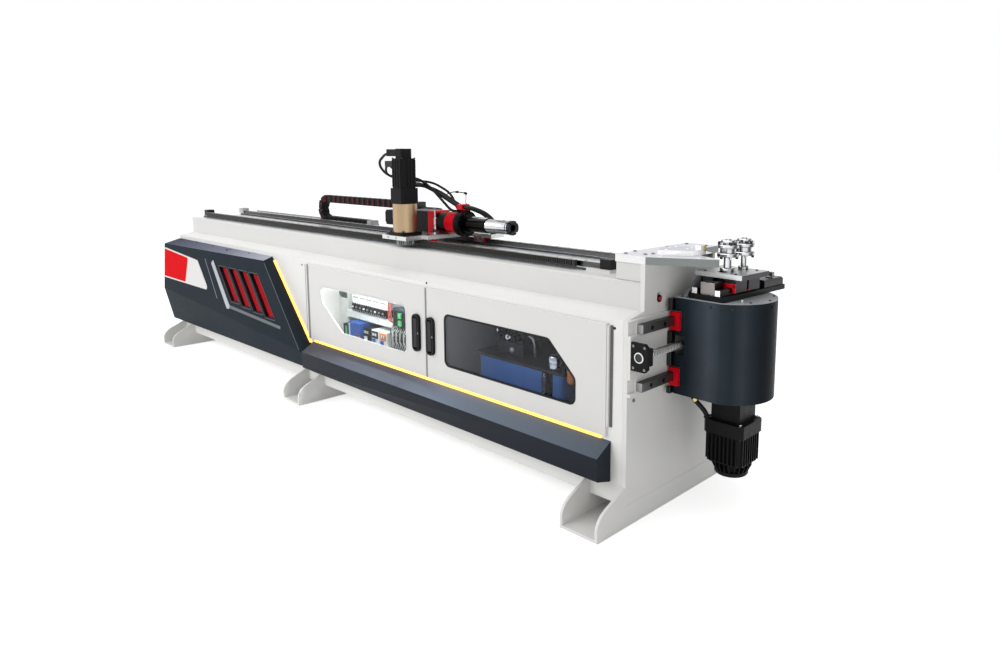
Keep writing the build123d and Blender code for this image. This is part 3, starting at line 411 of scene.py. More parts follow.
COLLET = zoned("collet_bands", END, [
    (-1300, DARK_STEEL, 0.34, 1), (-866, BRIGHT, 0.18, 1), (-852, (0.035, 0.035, 0.04), 0.3, 1)], -830)


def ended(name, direction, ends, cap):
    """Ground steel with red seals at the ends of each run along a direction."""
    zones = []
    for low, high in ends:
        zones += [(low - 5, SCARLET, 0.4, 0), (low + cap, BRIGHT, 0.28, 1), (high - cap, SCARLET, 0.4, 0)]
    return zoned(name, direction, zones, ends[-1][1] + 20, 0.1)


HEAD_BLOCK = ended("head_block_ends", BACK, [(-104.5, 8), (150, 262)], 12)
FEED_BLOCK = ended("feed_block_ends", END, [(-1560, -1478), (-1345, -1263), (-1241, -1159)], 9)


def round_edges(obj, width):
    weld = obj.modifiers.new("weld", "WELD")
    weld.merge_threshold = WELD_REACH
    bevel = obj.modifiers.new("edge", "BEVEL")
    bevel.width = width
    bevel.segments = 2
    bevel.limit_method = "ANGLE"
    bevel.angle_limit = BEVEL_ANGLE
    bevel.harden_normals = True


# The round on the edges in metres, and each material with the solids that wear it
DRESS = {
    0.002: ((FRONT_WHITE, "door_left door_right"), (FAIRING, "fairing"), (SKIRT, "skirt")),
    0.0015: ((WHITE, "feet cabinet_inner_plates end_plates rear_covers"), (SHEET_WHITE, "cabinet_sheets"),
             (BED_WHITE, "bed_beam"), (RAIL, "bed_rails"), (HEAD_RAIL, "head_rails"), (RAIL_STOP, "rail_stops"),
             (BLACK, "screw_supports arm_plate shift_motor")),
    0.001: ((ARM_RAIL, "arm_rails"), (TABLE, "table_plate"), (DIE_STEEL, "die_bed"), (TOOL, "tool_plate"),
            (CARRIAGE, "carriage_plate"), (HEAD_BLOCK, "head_blocks"), (BLACKENED, "slide_blocks"),
            (FEED_BLOCK, "carriage_blocks")),
    0: ((WHITE, "panel_plate"), (CASING, "head_casing"), (LID_GREY, "head_lid"), (PALE_GREY, "chain_tray"),
        (PUMP, "pump_unit"), (STEEL, "head_plate ball_nut"), (RACK, "feed_rack"), (HINGE, "piano_hinges"),
        (HOUSING, "rotary_housing"), (BLACK, "feed_motor bend_motor bend_reducer rotary_motor"),
        (GOLD, "feed_gearbox"), (CHROME, "bend_spindle clamp_stack"), (MID_STEEL, "feed_pinion"),
        # The ball screw's dark core is painted shade in the grooves between the thread's turns.
        (BLACKENED, "ball_screw"), (HANDLE, "lever_left lever_right"), (SLOT_BACK, "fairing_insert"),
        (AMBER, "light_strips"), (PANE, "window_left"), (DARK_PANE, "window_right"), (BLUE, "oil_tank"),
        (SHAFT, "chuck_spindle"), (RUBBER, "carriage_hoses motor_conduit"), (COLLET, "collet"),
        (PLASTIC, "latch_left latch_right panel_devices chain_lower_run chain_loop chain_upper_run")),
}
for width, looks in DRESS.items():
    for look, names in looks:
        for solid in (NODES[name] for name in names.split()):
            for slot in solid.material_slots:
                slot.material = look
            if width:
                round_edges(solid, width)


def rounded(points, radii, steps=5):
    """The outline with each corner replaced by an arc, of one radius or one for each corner."""
    result = []
    radii = radii if isinstance(radii, list) else [radii] * len(points)
    for before, corner, after, radius in zip(points[-1:] + points[:-1], points, points[1:] + points[:1], radii):
        p = Vector(corner)
        u = (Vector(before) - p).normalized()
        v = (Vector(after) - p).normalized()
        half = u.angle(v) / 2
        reach = radius * cos(half) / sin(half)
        middle = p + (u + v).normalized() * (radius / sin(half))
        start, end = p + u * reach - middle, p + v * reach - middle
        result += [middle + start.lerp(end, k / steps).normalized() * radius for k in range(steps + 1)]
    return result


def grown(points, step):
    """The outline with every side moved outwards by a step."""
    ahead = points[1:] + points[:1]
    side = 1 if sum(a[0] * b[1] - b[0] * a[1] for a, b in zip(points, ahead)) > 0 else -1
    lines = []
    for a, b in zip(points, ahead):
        d = (Vector(b) - Vector(a)).normalized()
        lines.append((Vector(a) + Vector((d.y, -d.x)) * side * step, d))
    result = []
    for (a, d), (b, e) in zip(lines[-1:] + lines[:-1], lines):
        t = ((b - a).x * e.y - (b - a).y * e.x) / (d.x * e.y - d.y * e.x)
        result.append(tuple(a + d * t))
    return result


def rect(x0, x1, z0, z1, radii, steps=5):
    """A rectangle with rounded corners."""
    return rounded([(x0, z0), (x1, z0), (x1, z1), (x0, z1)], radii, steps)


def around(count, shift=0):
    """Angles in equal steps round a circle."""
    return [2 * pi * (k + shift) / count for k in range(count)]


def circle(centre, side, other, radius, count):
    """Points round a centre, in the plane of two directions."""
    return [centre + (side * cos(a) + other * sin(a)) * radius for a in around(count)]


class Piece:
    """A scene piece gathered from simple solids, all in millimetres."""

    def __init__(self, name, body, *materials):
        self.name, self.body, self.materials = name, body, materials
        self.bm = bmesh.new()

    def skin(self, points, faces, slot):
        made = [self.bm.verts.new(Vector(p) * MM) for p in points]
        for face in faces:
            self.bm.faces.new([made[i] for i in face]).material_index = slot

    def prism(self, outline, push, slot=0):
        """A flat outline pushed along a vector."""
        n = len(outline)
        points = [Vector(p) for p in outline] + [Vector(p) + Vector(push) for p in outline]
        sides = [(i, (i + 1) % n, n + (i + 1) % n, n + i) for i in range(n)]
        self.skin(points, [range(n), range(2 * n - 1, n - 1, -1)] + sides, slot)

    def box(self, x0, x1, y0, y1, z0, z1, slot=0):
        self.prism([(x0, y0, z0), (x1, y0, z0), (x1, y1, z0), (x0, y1, z0)], (0, 0, z1 - z0), slot)

    def ring(self, outer, inner, push, slot=0):
        """A flat frame between two outlines of the same length."""
        n = len(outer)
        points = [Vector(p) for p in (*outer, *inner)]
        points += [p + Vector(push) for p in points]
        faces = []
        for i in range(n):
            j = (i + 1) % n
            faces += [(i, j, n + j, n + i), (2 * n + i, 3 * n + i, 3 * n + j, 2 * n + j),
                      (i, 2 * n + i, 2 * n + j, j), (n + i, n + j, 3 * n + j, 3 * n + i)]
        self.skin(points, faces, slot)

    def lathe(self, place, axis, profile, sides, slot=0):
        """A profile of radius and height turned about an axis."""
        place, axis = Vector(place), Vector(axis).normalized()
        side = axis.orthogonal().normalized()
        other = axis.cross(side)
        points, rows = [], []
        for radius, height in profile:
            count = sides if radius else 1
            rows.append([len(points) + k for k in range(count)])
            points += circle(place + axis * height, side, other, radius, sides)[:count]
        faces = []
        for low, high in zip(rows, rows[1:]):
            for k in range(sides):
                m = (k + 1) % sides
                quad = (low[k % len(low)], low[m % len(low)], high[m % len(high)], high[k % len(high)])
                faces.append(tuple(dict.fromkeys(quad)))
        self.skin(points, faces, slot)

    def knob(self, place, axis, profile, sides, slot=0):
        """A turned solid, closed at both ends of its profile."""
        low, high = profile[0][1], profile[-1][1]
        self.lathe(place, axis, [(0, low), *profile, (0, high)], sides, slot)

    def tube(self, points, radius, sides, slot=0):
        """A round bar through points."""
        points = [Vector(p) for p in points]
        rows, made, side = [], [], None
        for i, p in enumerate(points):
            ahead = (points[min(i + 1, len(points) - 1)] - points[max(i - 1, 0)]).normalized()
            side = ahead.orthogonal() if side is None else side - ahead * side.dot(ahead)
            side.normalize()
            rows.append([len(made) + k for k in range(sides)])
            made += circle(p, side, ahead.cross(side), radius, sides)
        faces = [rows[0], rows[-1][::-1]]
        for low, high in zip(rows, rows[1:]):
            faces += [(low[k], low[k - 1], high[k - 1], high[k]) for k in range(sides)]
        self.skin(made, faces, slot)

    def screw(self, place, axis, r, h, slot=0):
        """Socket head screw of a radius and a height, with its recess."""
        profile = [(r, -2), (r, h * 0.8), (r * 0.86, h), (r * 0.52, h), (r * 0.52, h * 0.4)]
        self.knob(place, axis, profile, 18, slot)

    def corners(self, x, y, z, dx, dy, r, h, slot=0, axis=UP):
        """Four screws round a centre."""
        for sx, sy in product((-dx, dx), (-dy, dy)):
            self.screw((x + sx, y + sy, z), axis, r, h, slot)

    def fins(self, x, y, places, out, half, deep, z0, z1):
        """Upright fins on the four sides of a square motor."""
        for at, side in product(places, (-out, out)):
            self.box(x + at - half, x + at + half, y + side - deep, y + side + deep, z0, z1)
            self.box(x + side - deep, x + side + deep, y + at - half, y + at + half, z0, z1)

    def done(self, bevel=0, turned=False):
        """Make the object; a piece drawn along the straight arm is turned with it."""
        bmesh.ops.recalc_face_normals(self.bm, faces=self.bm.faces[:])
        if turned:
            bmesh.ops.rotate(self.bm, verts=self.bm.verts[:], cent=BEND, matrix=Matrix.Rotation(ARM_TURN, 3, "Z"))
        mesh = bpy.data.meshes.new(self.name)
        self.bm.to_mesh(mesh)
        self.bm.free()
        for material in self.materials:
            mesh.materials.append(material)
        mesh.polygons.foreach_set("use_smooth", [True] * len(mesh.polygons))
        mesh.set_sharp_from_angle(angle=SHARP_ANGLE)
        obj = placed(self.name, mesh)
        if bevel:
            round_edges(obj, bevel)
        if self.body:
            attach(obj, self.body)
        return obj


def fairing_y(x, z):
    """Front of the fairing's large facet."""
    return WALL_Y - 110 + 0.0304 * (x - LEFT_X) + 0.0692 * (z - 730)


def fairing_low_y(x, z):
    """Front of the fairing's lower facet."""
    return WALL_Y - 78 + 0.0084 * (x - LEFT_X) - 0.2328 * (z - 180)


def on_fairing(points, lift):
    return [(x, fairing_y(x, z) - lift, z) for x, z in points]


def on_front(points, y):
    return [(x, y, z) for x, z in points]


def strip(a, b, width):
    """Corners of a straight band from a to b."""
    a, b = Vector(a), Vector(b)
    d = (b - a).normalized()
    side = Vector((-d.y, d.x)) * width / 2
    return [tuple(a + side), tuple(b + side), tuple(b - side), tuple(a - side)]


# Fairing: bare nameplate, silver trim, slot frames, and an edge bead that stands in for the highlight along the
# slanted edge
badge = Piece("nameplate", "frame", FRONT_WHITE, RED)
plate = [(-3957, 704), (-3424, 660), (-3254, 478), (-3957, 490)]
badge.prism(on_fairing(rounded(plate, [4, 34, 16, 4]), 2.5), (0, 4, 0))
field = [(-3957, 694), (-3570, 662), (-3606, 494), (-3957, 501)]
badge.prism(on_fairing(rounded(field, [3, 14, 10, 3]), 4), (0, 3, 0), 1)
badge.done(0.0008)

trim = Piece("fairing_trim", "frame", TRIM, DULL_TRIM, GUSSET)
upright = [(-3216, 662), (-3190, 684), (-2966, 428), (-2950, 414), (-2960, 394), (-2990, 394)]
trim.prism(on_fairing(rounded(upright, [6, 3, 4, 4, 6, 14], 3), 4), (0, 6, 0))
lower = [(-2964, 421), (-2322, 383), (-2326, 364), (-2962, 401)]
trim.prism(on_fairing(rounded(lower, 4, 3), 3.4), (0, 6, 0), 1)
# A paler strip down the slanted crease: a painted highlight on the crease.
trim.prism(on_fairing(strip((-3313, 681), (-3130, 439), 9), 1.2), (0, 4, 0), 2)
trim.done(0.0015)


def slot_outline(i, grow):
    """One slanted slot of the fairing, in X and Z."""
    top, low = SLOT_TOP + grow, 450 - 12.5 * i - grow
    left = -3111 + 134 * i - grow
    right = left + 102 + 2 * grow
    shift, lift = SLOT_SLANT * (SLOT_TOP - low), SLOT_SLANT * grow
    return [(left - lift, top), (right - lift, top), (right + shift, low), (left + shift, low)]


frames = Piece("slot_frames", "frame", DULL_TRIM, SLOT_RED)
for i in range(4):
    outer, inner = rounded(slot_outline(i, 9), 6), rounded(slot_outline(i, 6.5), 4)
    frames.ring(on_fairing(outer, 1.2), on_fairing(inner, 1.2), (0, 3, 0))
    (x0, z0), right_top, right_low, (x1, z1) = slot_outline(i, -3)
    panel = [(x0 + 30, z0), right_top, right_low, (x1 + 30, z1)]
    frames.prism(on_fairing(rounded(panel, 4), -8), (0, 4, 0), 1)
frames.done()

# A thin metal bead down the slanted edge, standing in for the edge's highlight.
highlight_bead = Piece("fairing_bead", "frame", DULL_TRIM)
edge = []
for z in range(728, 279, -56):
    x = -2556 + (FAIRING_TOP - z) * 445 / 492
    edge.append((x, max(fairing_y(x, z), fairing_low_y(x, z)) - 0.5, z))
highlight_bead.tube(edge, 2, 8)
highlight_bead.done()

studs = Piece("wall_fasteners", "frame", BLACK)
for x, z in ((-2203, 745), (-1062, 778), (30, 745)):
    studs.knob((x, WALL_Y, z), FRONT, [(5, -2), (5, 1.5), (3.5, 2.2)], 16)
TOP_TILT = (0, -0.263, 0.965)
for x in range(-3900, -2550, 270):
    studs.screw((x, -357, FAIRING_TOP + 0.273 * (-357 - WALL_Y)), TOP_TILT, 5, 2)
studs.screw((-3105, -372, 751), TOP_TILT, 8, 3)
studs.done()

# Doors: grey strips down their edges that paint the shadow in the door gaps, gaskets and latch keys
# The grey strips are painted shadow in the gaps beside the doors.
for name, side, left, right in (("gap_shadow", "right", -1060.4, -1050.5), ("edge", "left", -2130, -2112)):
    gap_shadow = Piece("door_" + name, "door_" + side, GAP_SHADOW_GREY)
    gap_shadow.box(left, right, DOOR_FACE - 0.9, DOOR_FACE + 0.1, 336, 758)
    gap_shadow.done()
for side, outline, look in (("left", WINDOW_LEFT, PALE), ("right", WINDOW_RIGHT, RUBBER)):
    gasket = Piece("gasket_" + side, "door_" + side, look)
    gasket.ring(on_front(rounded(grown(outline, 3), 31), DOOR_FACE - 1.5),
                on_front(rounded(grown(outline, -6), 22), DOOR_FACE - 1.5), (0, 4.4, 0))
    gasket.done(0.0008)
for side, x in (("left", -1104.5), ("right", -998.5)):
    key = Piece("latch_key_" + side, "door_" + side, MID_STEEL, BLACK)
    key.knob((x, DOOR_FACE - 13, 537), FRONT, [(4.6, -3), (4.6, 1), (3.8, 1.6)], 20)
    key.box(x - 0.7, x + 0.7, DOOR_FACE - 15, DOOR_FACE - 14, 534.5, 539.5, 1)
    key.done()


# Cable chain: overlapping side plates, lids and red inserts
def chain_link(piece, place):
    """One link; place turns its length, depth and height into a point."""
    y0, y1 = CHAIN_Y
    for near, inward in ((y0, 1), (y1, -1)):
        for u0, u1, level in ((-30, 8, 0), (-4, 30, 3)):
            start = near + level * inward
            side = [place(u, start, w) for u, w in rect(u0, u1, 3, 43, 9, 3)]
            piece.prism(side, place(0, start + 3.2 * inward, 0) - place(0, start, 0))
    insert = [(-6, 8), (6, 8), (6, 14), (2.5, 14), (2.5, 32), (6, 32), (6, 38), (-6, 38), (-6, 32), (-2.5, 32),
              (-2.5, 14), (-6, 14)]
    for near, outward in ((y0, -1), (y1, 1)):
        side = [place(u - 8, near - outward * 0.5, w) for u, w in insert]
        piece.prism(side, place(0, outward * 1.3, 0) - place(0, 0, 0), 1)
    for low, (u, inset, thick) in product((0, 41), ((25, 5, 5), (6, 2, 5.8))):
        flat = [(-u, y0 + inset), (u, y0 + inset), (u, y1 - inset), (-u, y1 - inset)]
        piece.prism([place(a, y, low) for a, y in flat], place(0, 0, thick) - place(0, 0, 0))


def chain_run(name, count, sign, red):
    piece = Piece(name, None, PLASTIC, red)
    for i in range(-2, count):
        centre = CHAIN_START + CHAIN_PITCH * i
        chain_link(piece, lambda u, y, w: Vector((centre + u, y, CHAIN_Z + sign * (CHAIN_BORE + w))))
    return piece.done(0.0012)


def blend_run(obj, share):
    """Bake the run's placement into its mesh and work out each vertex's share of the way along it; the shares are
    not used.
    """
    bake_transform(obj)
    weights = [share(vertex.co.x * 1000) for vertex in obj.data.vertices]


upper_run = chain_run("chain_upper_links", 15, 1, CHAIN_RED)
blend_run(upper_run, lambda x: 0.5 + 0.5 * min(max((x - CHAIN_X) / UPPER_REACH, 0), 1))
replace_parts(upper_run, "chain_upper_run")
lower_run = chain_run("chain_lower_links", 7, -1, PLASTIC)
blend_run(lower_run, lambda x: 0.5 * min(max((LOWER_END - x) / LOWER_REACH, 0), 1))
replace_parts(lower_run, "chain_lower_run")


def bent(angle):
    """Placement of a link on the loop at an angle from straight up."""
    along, out = Vector((-cos(angle), 0, -sin(angle))), Vector((-sin(angle), 0, cos(angle)))
    middle = Vector((CHAIN_X, 0, CHAIN_Z))
    return lambda u, y, w: middle + along * u + out * (CHAIN_BORE + w) + Vector((0, y, 0))


loop = Piece("chain_loop_links", "chain_loop", PLASTIC, CHAIN_RED)
for k in range(4):
    chain_link(loop, bent(radians(24 + 44 * k)))
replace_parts(loop.done(0.0012), "chain_loop")

# End bracket that holds the chain on the carriage
holder = Piece("chain_end", "carriage", BLACKENED, STEEL)
holder.box(-1878, -1838, 184, 234, 1050, 1056)
holder.box(-1884, -1846, 198, 220, 1066, 1076)
for y in (180.5, 233.5):
    holder.prism(on_front(rect(-1878, -1838, 1050, 1092, [8, 1, 1, 8]), y), (0, 4, 0))
holder.box(-1846, -1838, 184, 234, 1056, 1092)
for y in (198, 220):
    holder.screw((-1862, y, 1056), UP, 5, 3, 1)
holder.done(0.001)

# Carriage: screws, motor ribs and plugs, lubricator, hose clamp, sensor line, housing and sleeve
deck = Piece("carriage_screws", "carriage", BLACKENED, BLACK)
for x in (-1435, -1370):
    deck.knob((x, -283, 958), FRONT, [(6.5, -1), (6.5, 0.4), (5, 0.4), (5, -0.5)], 20, 1)
for x, y in ((-1470, -262), (-1306, -262), (-1565, -60), (-1565, 60), (-1285, 100), (-1285, -150), (-1100, 105),
             (-1100, 155), (-1240, 105)):
    deck.screw((x, y, 968), UP, 6.5, 5)
foot = rect(-1451, -1327, -275, -151, 13)
count = len(foot)
hole = [(GEAR_X + 60 * cos(a), GEAR_Y + 60 * sin(a)) for a in around(count)]
first = min(range(count), key=lambda k: dist(hole[k], foot[0]))
outer, inner = ([(x, y, 967.5) for x, y in loop] for loop in (foot, hole[first:] + hole[:first]))
deck.ring(outer, inner, (0, 0, 16.5), 1)
deck.corners(GEAR_X, GEAR_Y, 984, 50, 50, 6, 7)
deck.box(-1235, -1135, 118, 138, 967.5, 968.6, 1)
deck.done()

ribs = Piece("feed_motor_ribs", "carriage", BLACK, BLACKENED)
ribs.fins(GEAR_X, GEAR_Y, (-30, -10, 10, 30), 45, 4, 2.2, 1206, 1340)
ribs.corners(GEAR_X, GEAR_Y, 1346, 38, 38, 4.5, 4, 1)
ribs.done(0.0012)

plugs = Piece("motor_connectors", "carriage", PLASTIC, BLACKENED)
for x0, x1, z0, z1, look in ((-1514, -1418, 1356, 1391, 0), (-1530, -1430, 1303, 1333, 1)):
    for inset, y in ((0, 14), (6, 17)):
        plugs.box(x0 + inset, x1, GEAR_Y - y, GEAR_Y + y, z0 + inset / 2, z1 - inset / 2, look)
plugs.done(0.002)

fitting = Piece("lubricator", "carriage", CHROME, RED_CAP, BLACKENED)
fitting.lathe((-1316, -80, 968), UP, [
    (0, -1), (13, -1), (13, 9), (8, 11), (8, 30), (6, 32), (6, 46), (8, 48), (8, 78), (5, 82), (5, 108), (7, 110),
    (7, 118), (0, 120)], 20)
fitting.lathe((-1316, -80, 968), UP, [(14, 9), (17, 9), (17, 22), (14, 22), (14, 9)], 24, 2)
fitting.knob((-1316, -80, 1080), (0.8, 0.62, 0), [(5, 0), (5, 22), (7, 24), (7, 32)], 16, 1)
fitting.knob((-1316, -80, 1080), (-0.8, -0.62, 0), [(4, 0), (4, 12)], 14, 1)
fitting.tube([(-1291, -61, 1080), (-1276, -50, 1081), (-1256, -36, 1074), (-1250, -32, 1064)], 3, 10, 1)
fitting.done(0.0005)

clamp = Piece("hose_clamp", "carriage", RED_CAP, CHROME)
for y0, y1 in ((-29, -19.2), (19.2, 29)):
    clamp.box(-1210, -1172, y0, y1, 1080, 1114)
clamp.box(-1210, -1172, -29, 29, 1078, 1094.5)
clamp.box(-1208, -1174, -26, 26, 1113, 1119)
for y in (-23, 23):
    clamp.screw((-1191, y, 1119), UP, 4, 3, 1)
clamp.done(0.002)

sensor = Piece("sensor_line", "carriage", RUBBER, CHROME)
sensor.tube([(-1330, 0, 1158), (-1312, 8, 1170), (-1285, 14, 1176), (-1252, 18, 1177), (-1220, 20, 1175),
             (-1198, 20, 1172)], 2.6, 10)
sensor.knob((-1258, 17, 1177), (1, 0.1, 0), [(5, -9), (6, -5), (6, 6), (4, 9)], 16)
sensor.knob((-1196, 20, 1172), (1, 0, -0.3), [(5, -9), (6.5, -4), (6.5, 5), (4, 9)], 16)
sensor.tube([(-1194, 20, 1168), (-1193, 20, 1150), (-1197, 20, 1134), (-1194, 20, 1118)], 2.4, 10, 1)
sensor.done()

bands = Piece("housing_screws", "carriage", BLACKENED, CHROME)
for a in around(8, 0.5):
    bands.screw((-1161, 57 * cos(a), CHUCK_Z + 57 * sin(a)), END, 4, 3.5)
for y, z in product((-46, 46), (-45, 45)):
    bands.screw((-1359, y, CHUCK_Z + z), END, 5, 4, 1)
bands.lathe((-1188, 0, CHUCK_Z), END, [(64, -2), (65.2, -2), (65.2, 2), (64, 2), (64, -2)], 64)
bands.done()

sleeve = Piece("sleeve_shell", "spindle", SLEEVE, BLACK)
sleeve.lathe((0, 0, CHUCK_Z), END, [
    (32.6, -1004), (33.6, -1003), (33.6, -992), (33, -991), (33, -880), (33.8, -879), (33.8, -866),
    (32.6, -865)], 64)
sleeve.knob((-900, 0, 1056.2), UP, [(6, 0), (6, 0.5), (4.6, 0.5), (4.6, 0.2)], 20, 1)
sleeve.done()

# Bolt holes of the bed rails and the head rails
plugs = Piece("rail_plugs", "frame", BLACK)
for x, y in product(range(-3880, -210, 80), (-132, 132)):
    plugs.knob((x, y, 939), UP, [(5.5, -1), (5.5, 0.3), (4.2, 0.3), (3.6, -0.4)], 10)
for y, z in product(range(-246, 330, 80), (534, 748)):
    plugs.knob((128, y, z), END, [(8, -1), (8, 0.4)], 16)
plugs.done()

# Table and die bed screws, guide insert, pilot lamp on the end plate
table = Piece("table_screws", "frame", MID_STEEL, BRASS, BLACK, RED_CAP)
for x, y in ((-21, -213), (-38, -133), (47, -185), (58, -151), (-20, 60), (70, 60), (-20, 200), (70, 200)):
    table.screw((x, y, 1000), UP, 7.5, 3.5)
for x, y in ((80, -75), (80, -38), (150, -66), (150, -38), (108, -145)):
    table.screw((x, y, 1010), UP, 6.2, 6)
table.box(203.2, 206, -40, -24, 1012, 1030, 1)
table.knob((89, -151, 836), END, [(14, -1), (14, 3), (12, 5), (9, 5), (9, 3)], 24, 2)
table.lathe((89, -151, 836), END, [(0, 2), (7, 2), (7, 5), (5, 6.5), (0, 7)], 20, 3)
for y in (-300, 300):
    table.screw((89, y, 480), END, 7, 4)
table.done()

# Bend head: casing, lid and motor screws
head = Piece("head_screws", "head", BLACKENED, STEEL, CHROME)
for x in (132, 270):
    head.screw((x, -89.5, 818), FRONT, 4.5, 3)
    head.screw((x, 239.5, 818), BACK, 4.5, 3)
for a in map(radians, (-58, 0, 58)):
    head.screw((256 + 173 * cos(a), 75 + 173 * sin(a), 818), (cos(a), sin(a), 0), 4.5, 3)
for a in map(radians, (-70, -35, 0, 35, 70)):
    head.screw((256 + 160 * cos(a), 75 + 158 * sin(a), 839.5), UP, 4.5, 3)
head.corners(170, 75, 839.5, 30, 151, 4.5, 3)
head.corners(MOTOR_X, MOTOR_Y, 314, 66, 66, 7, 6, 0, DOWN)
head.corners(MOTOR_X, MOTOR_Y, 365, 66, 66, 7, 6, 2)
head.knob((359, -26, 839), UP, [(5, 0), (5, 9), (4, 10)], 16, 1)
head.done()

# Bend head: dark side plates beside the blocks, which also stand in for the shade between the blocks
shaded_side_plates = Piece("head_shaded_side_plates", "head", BLACKENED)
for (y0, y1), (z0, z1) in product(((-112, -84), (234, 248)), ((467, 494), (574, 708), (788, 834))):
    shaded_side_plates.box(103, 121, y0, y1, z0, z1)
shaded_side_plates.done(0.002)

# Bend motor: raised fins and a finned end bell
fins = Piece("bend_motor_fins", "head", BLACK)
fins.fins(MOTOR_X, MOTOR_Y, [17 * i + 8.5 for i in range(-4, 4)], 76, 2.5, 3, 203, 311)
fins.knob((MOTOR_X, MOTOR_Y, 150), UP, [(60, -3), (64, 2), (64, 14), (54, 18), (54, 51)], 48)
for a in around(24, 0.5):
    out, wide = Vector((cos(a), sin(a), 0)), Vector((-sin(a), cos(a), 0)) * 2
    profile = ((50, 158), (66, 166), (76, 186), (76, 203), (50, 203))
    fins.prism([Vector((MOTOR_X, MOTOR_Y, z)) + out * r - wide for r, z in profile], wide * 2)
fins.done(0.001)

# Conduit from the casing to the motor, with a gland at each end and a brass one between
CONDUIT = [(160, -24, 465), (160, -24, 430), (214, 6, 400), (214, 6, 365)]
bend = []
for step in range(25):
    t = step / 24
    share = ((1 - t) ** 3, 3 * t * (1 - t) ** 2, 3 * t * t * (1 - t), t ** 3)
    bend.append(sum((Vector(p) * s for p, s in zip(CONDUIT, share)), Vector()))
conduit = Piece("conduit_hose", "head", RUBBER, BRASS, BLACK)
conduit.tube(bend, 9.5, 18)
for point, axis, look in ((CONDUIT[0], DOWN, 2), (bend[6], bend[7] - bend[6], 1), (CONDUIT[-1], UP, 2)):
    conduit.lathe(point, axis, [(9, 0), (12.5, 0), (12.5, 7), (11.5, 7), (11.5, 13), (9, 15)], 6, look)
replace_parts(conduit.done(), "motor_conduit")

# Ball screw thread, and the bearing cap on its front support
# The thread is bright steel over the screw's dark core, whose darkness is painted shade between the turns.
thread = Piece("screw_thread", "screw", STEEL)
turns = [(pi * k / 6, -288 + 10 * k / 12) for k in range(12 * 58)]
thread.tube([(SCREW_X + 13.4 * cos(a), y, SCREW_Z + 13.4 * sin(a)) for a, y in turns], 1.9, 6)
thread.done()
cap = Piece("screw_cap", "frame", STEEL, MID_STEEL)
cap.lathe((SCREW_X, -337, SCREW_Z), FRONT, [(15.5, -1), (20, -1), (20, 2), (19, 3), (15.5, 3), (15.5, -1)], 32)
for dx, dz in product((-24, 24), (-40, 40)):
    cap.screw((SCREW_X + dx, -337, SCREW_Z + dz), FRONT, 5, 3, 1)
cap.done()

# Swing arm, drawn straight and turned: side plate, face, cover, stop, rail plugs and slide
arm = Piece("arm_side_plate", "arm", GUSSET, STEEL, FACE_STEEL)
arm.box(224, 282, -75, -73.5, 861.5, 903, 2)
side = [(-86, 843), (-86, 853), (-8, 910), (158, 910), (158, 843)]
arm.prism([(160, y, z) for y, z in side], (15.5, 0, 0))
for y in (-40, 60, 140):
    arm.screw((160, y, 851), (-1, 0, 0), 4.5, 3, 1)
arm.done(0.0012, True)
stop = Piece("arm_stop", "arm", MID_STEEL, BLACKENED)
stop.prism(on_front(rect(194, 326, 860, 890, [1, 1, 10, 10]), 196), (0, 138, 0), 1)
stop.box(290, 322, 262, 298, 889, 895)
stop.box(298, 314, 272, 288, 894, 912)
stop.done(0.001, True)
holes = Piece("arm_rail_plugs", "arm", BLACKENED)
for x, y in product((204, 302), range(-70, 335, 45)):
    holes.knob((x, y, 882), UP, [(5, -1), (5, 0.3), (3.8, 0.3), (3.4, -0.4)], 12)
holes.corners(253, -19, 904, 13, 41, 5, 4)
holes.done(turned=True)
seals = Piece("slide_seals", "slide", RED_CAP)
for x in (277, 315):
    seals.box(x, x + 12, -9, -3, 865, 896)
seals.box(277, 327, -9, -3, 884, 899)
for y in (71, 82):
    seals.box(322, 327, y, y + 3, 864, 872)
seals.done(0.001, True)
slide = Piece("slide_screws", "slide", BLACKENED)
slide.corners(253, 78, 933, 65, 72, 5, 3)
slide.done(turned=True)

# Bolt heads round the flanges of the two roller stacks, every other one dark: painted shade on the ring of heads
for name, body, x, y, turned in (("spindle_bolts", "arm", 250, 57, False), ("clamp_bolts", "slide", 264, 144, True)):
    bolts = Piece(name, body, CHROME, BLACKENED)
    for k, a in enumerate(around(6, 0.25)):
        place = (x + 33.5 * cos(a), y + 33.5 * sin(a))
        bolts.knob((*place, 1033), UP, [(6.2, -1), (6.2, 9), (4.5, 10)], 6, k % 2)
        bolts.knob((*place, 988), DOWN, [(5.6, -1), (5.6, 8)], 6, 1 - k % 2)
    bolts.done(turned=turned)

# Electrical bay: ducts with fingers, device fronts, wires, lamp and vent
ducts = Piece("wire_ducts", "frame", PALE)
for end, z in ((-1090, 640), (DUCT_X + 440, 436), (-1090, 270)):
    ducts.box(DUCT_X + 1, end, PANEL_Y - 64, PANEL_Y - 56, z - 1, z + 41)
    for x in range(DUCT_X + 4, end - 8, 12):
        ducts.box(x, x + 7, PANEL_Y - 57, PANEL_Y, z - 1.5, z + 1)
        ducts.box(x, x + 7, PANEL_Y - 57, PANEL_Y, z + 39, z + 41.5)
ducts.box(BAY_X + 13, DUCT_X - 1, PANEL_Y - 64, PANEL_Y - 56, 141, 681)
for z in range(146, 146 + 44 * 12, 12):
    ducts.box(BAY_X + 13.5, BAY_X + 16, PANEL_Y - 57, PANEL_Y, z, z + 7)
    ducts.box(DUCT_X - 1, DUCT_X + 1.5, PANEL_Y - 57, PANEL_Y, z, z + 7)
ducts.done()

fronts = Piece("panel_fronts", "frame", PALE, PLASTIC, SKY, GREEN, RED_CAP, STEEL, GREY, ORANGE, DARK_BLUE, WIRE_RED)


def part(x0, x1, y0, y1, z0, z1, slot):
    """A block on the panel, measured along X from the duct."""
    fronts.box(DUCT_X + x0, DUCT_X + x1, y0, y1, z0, z1, slot)


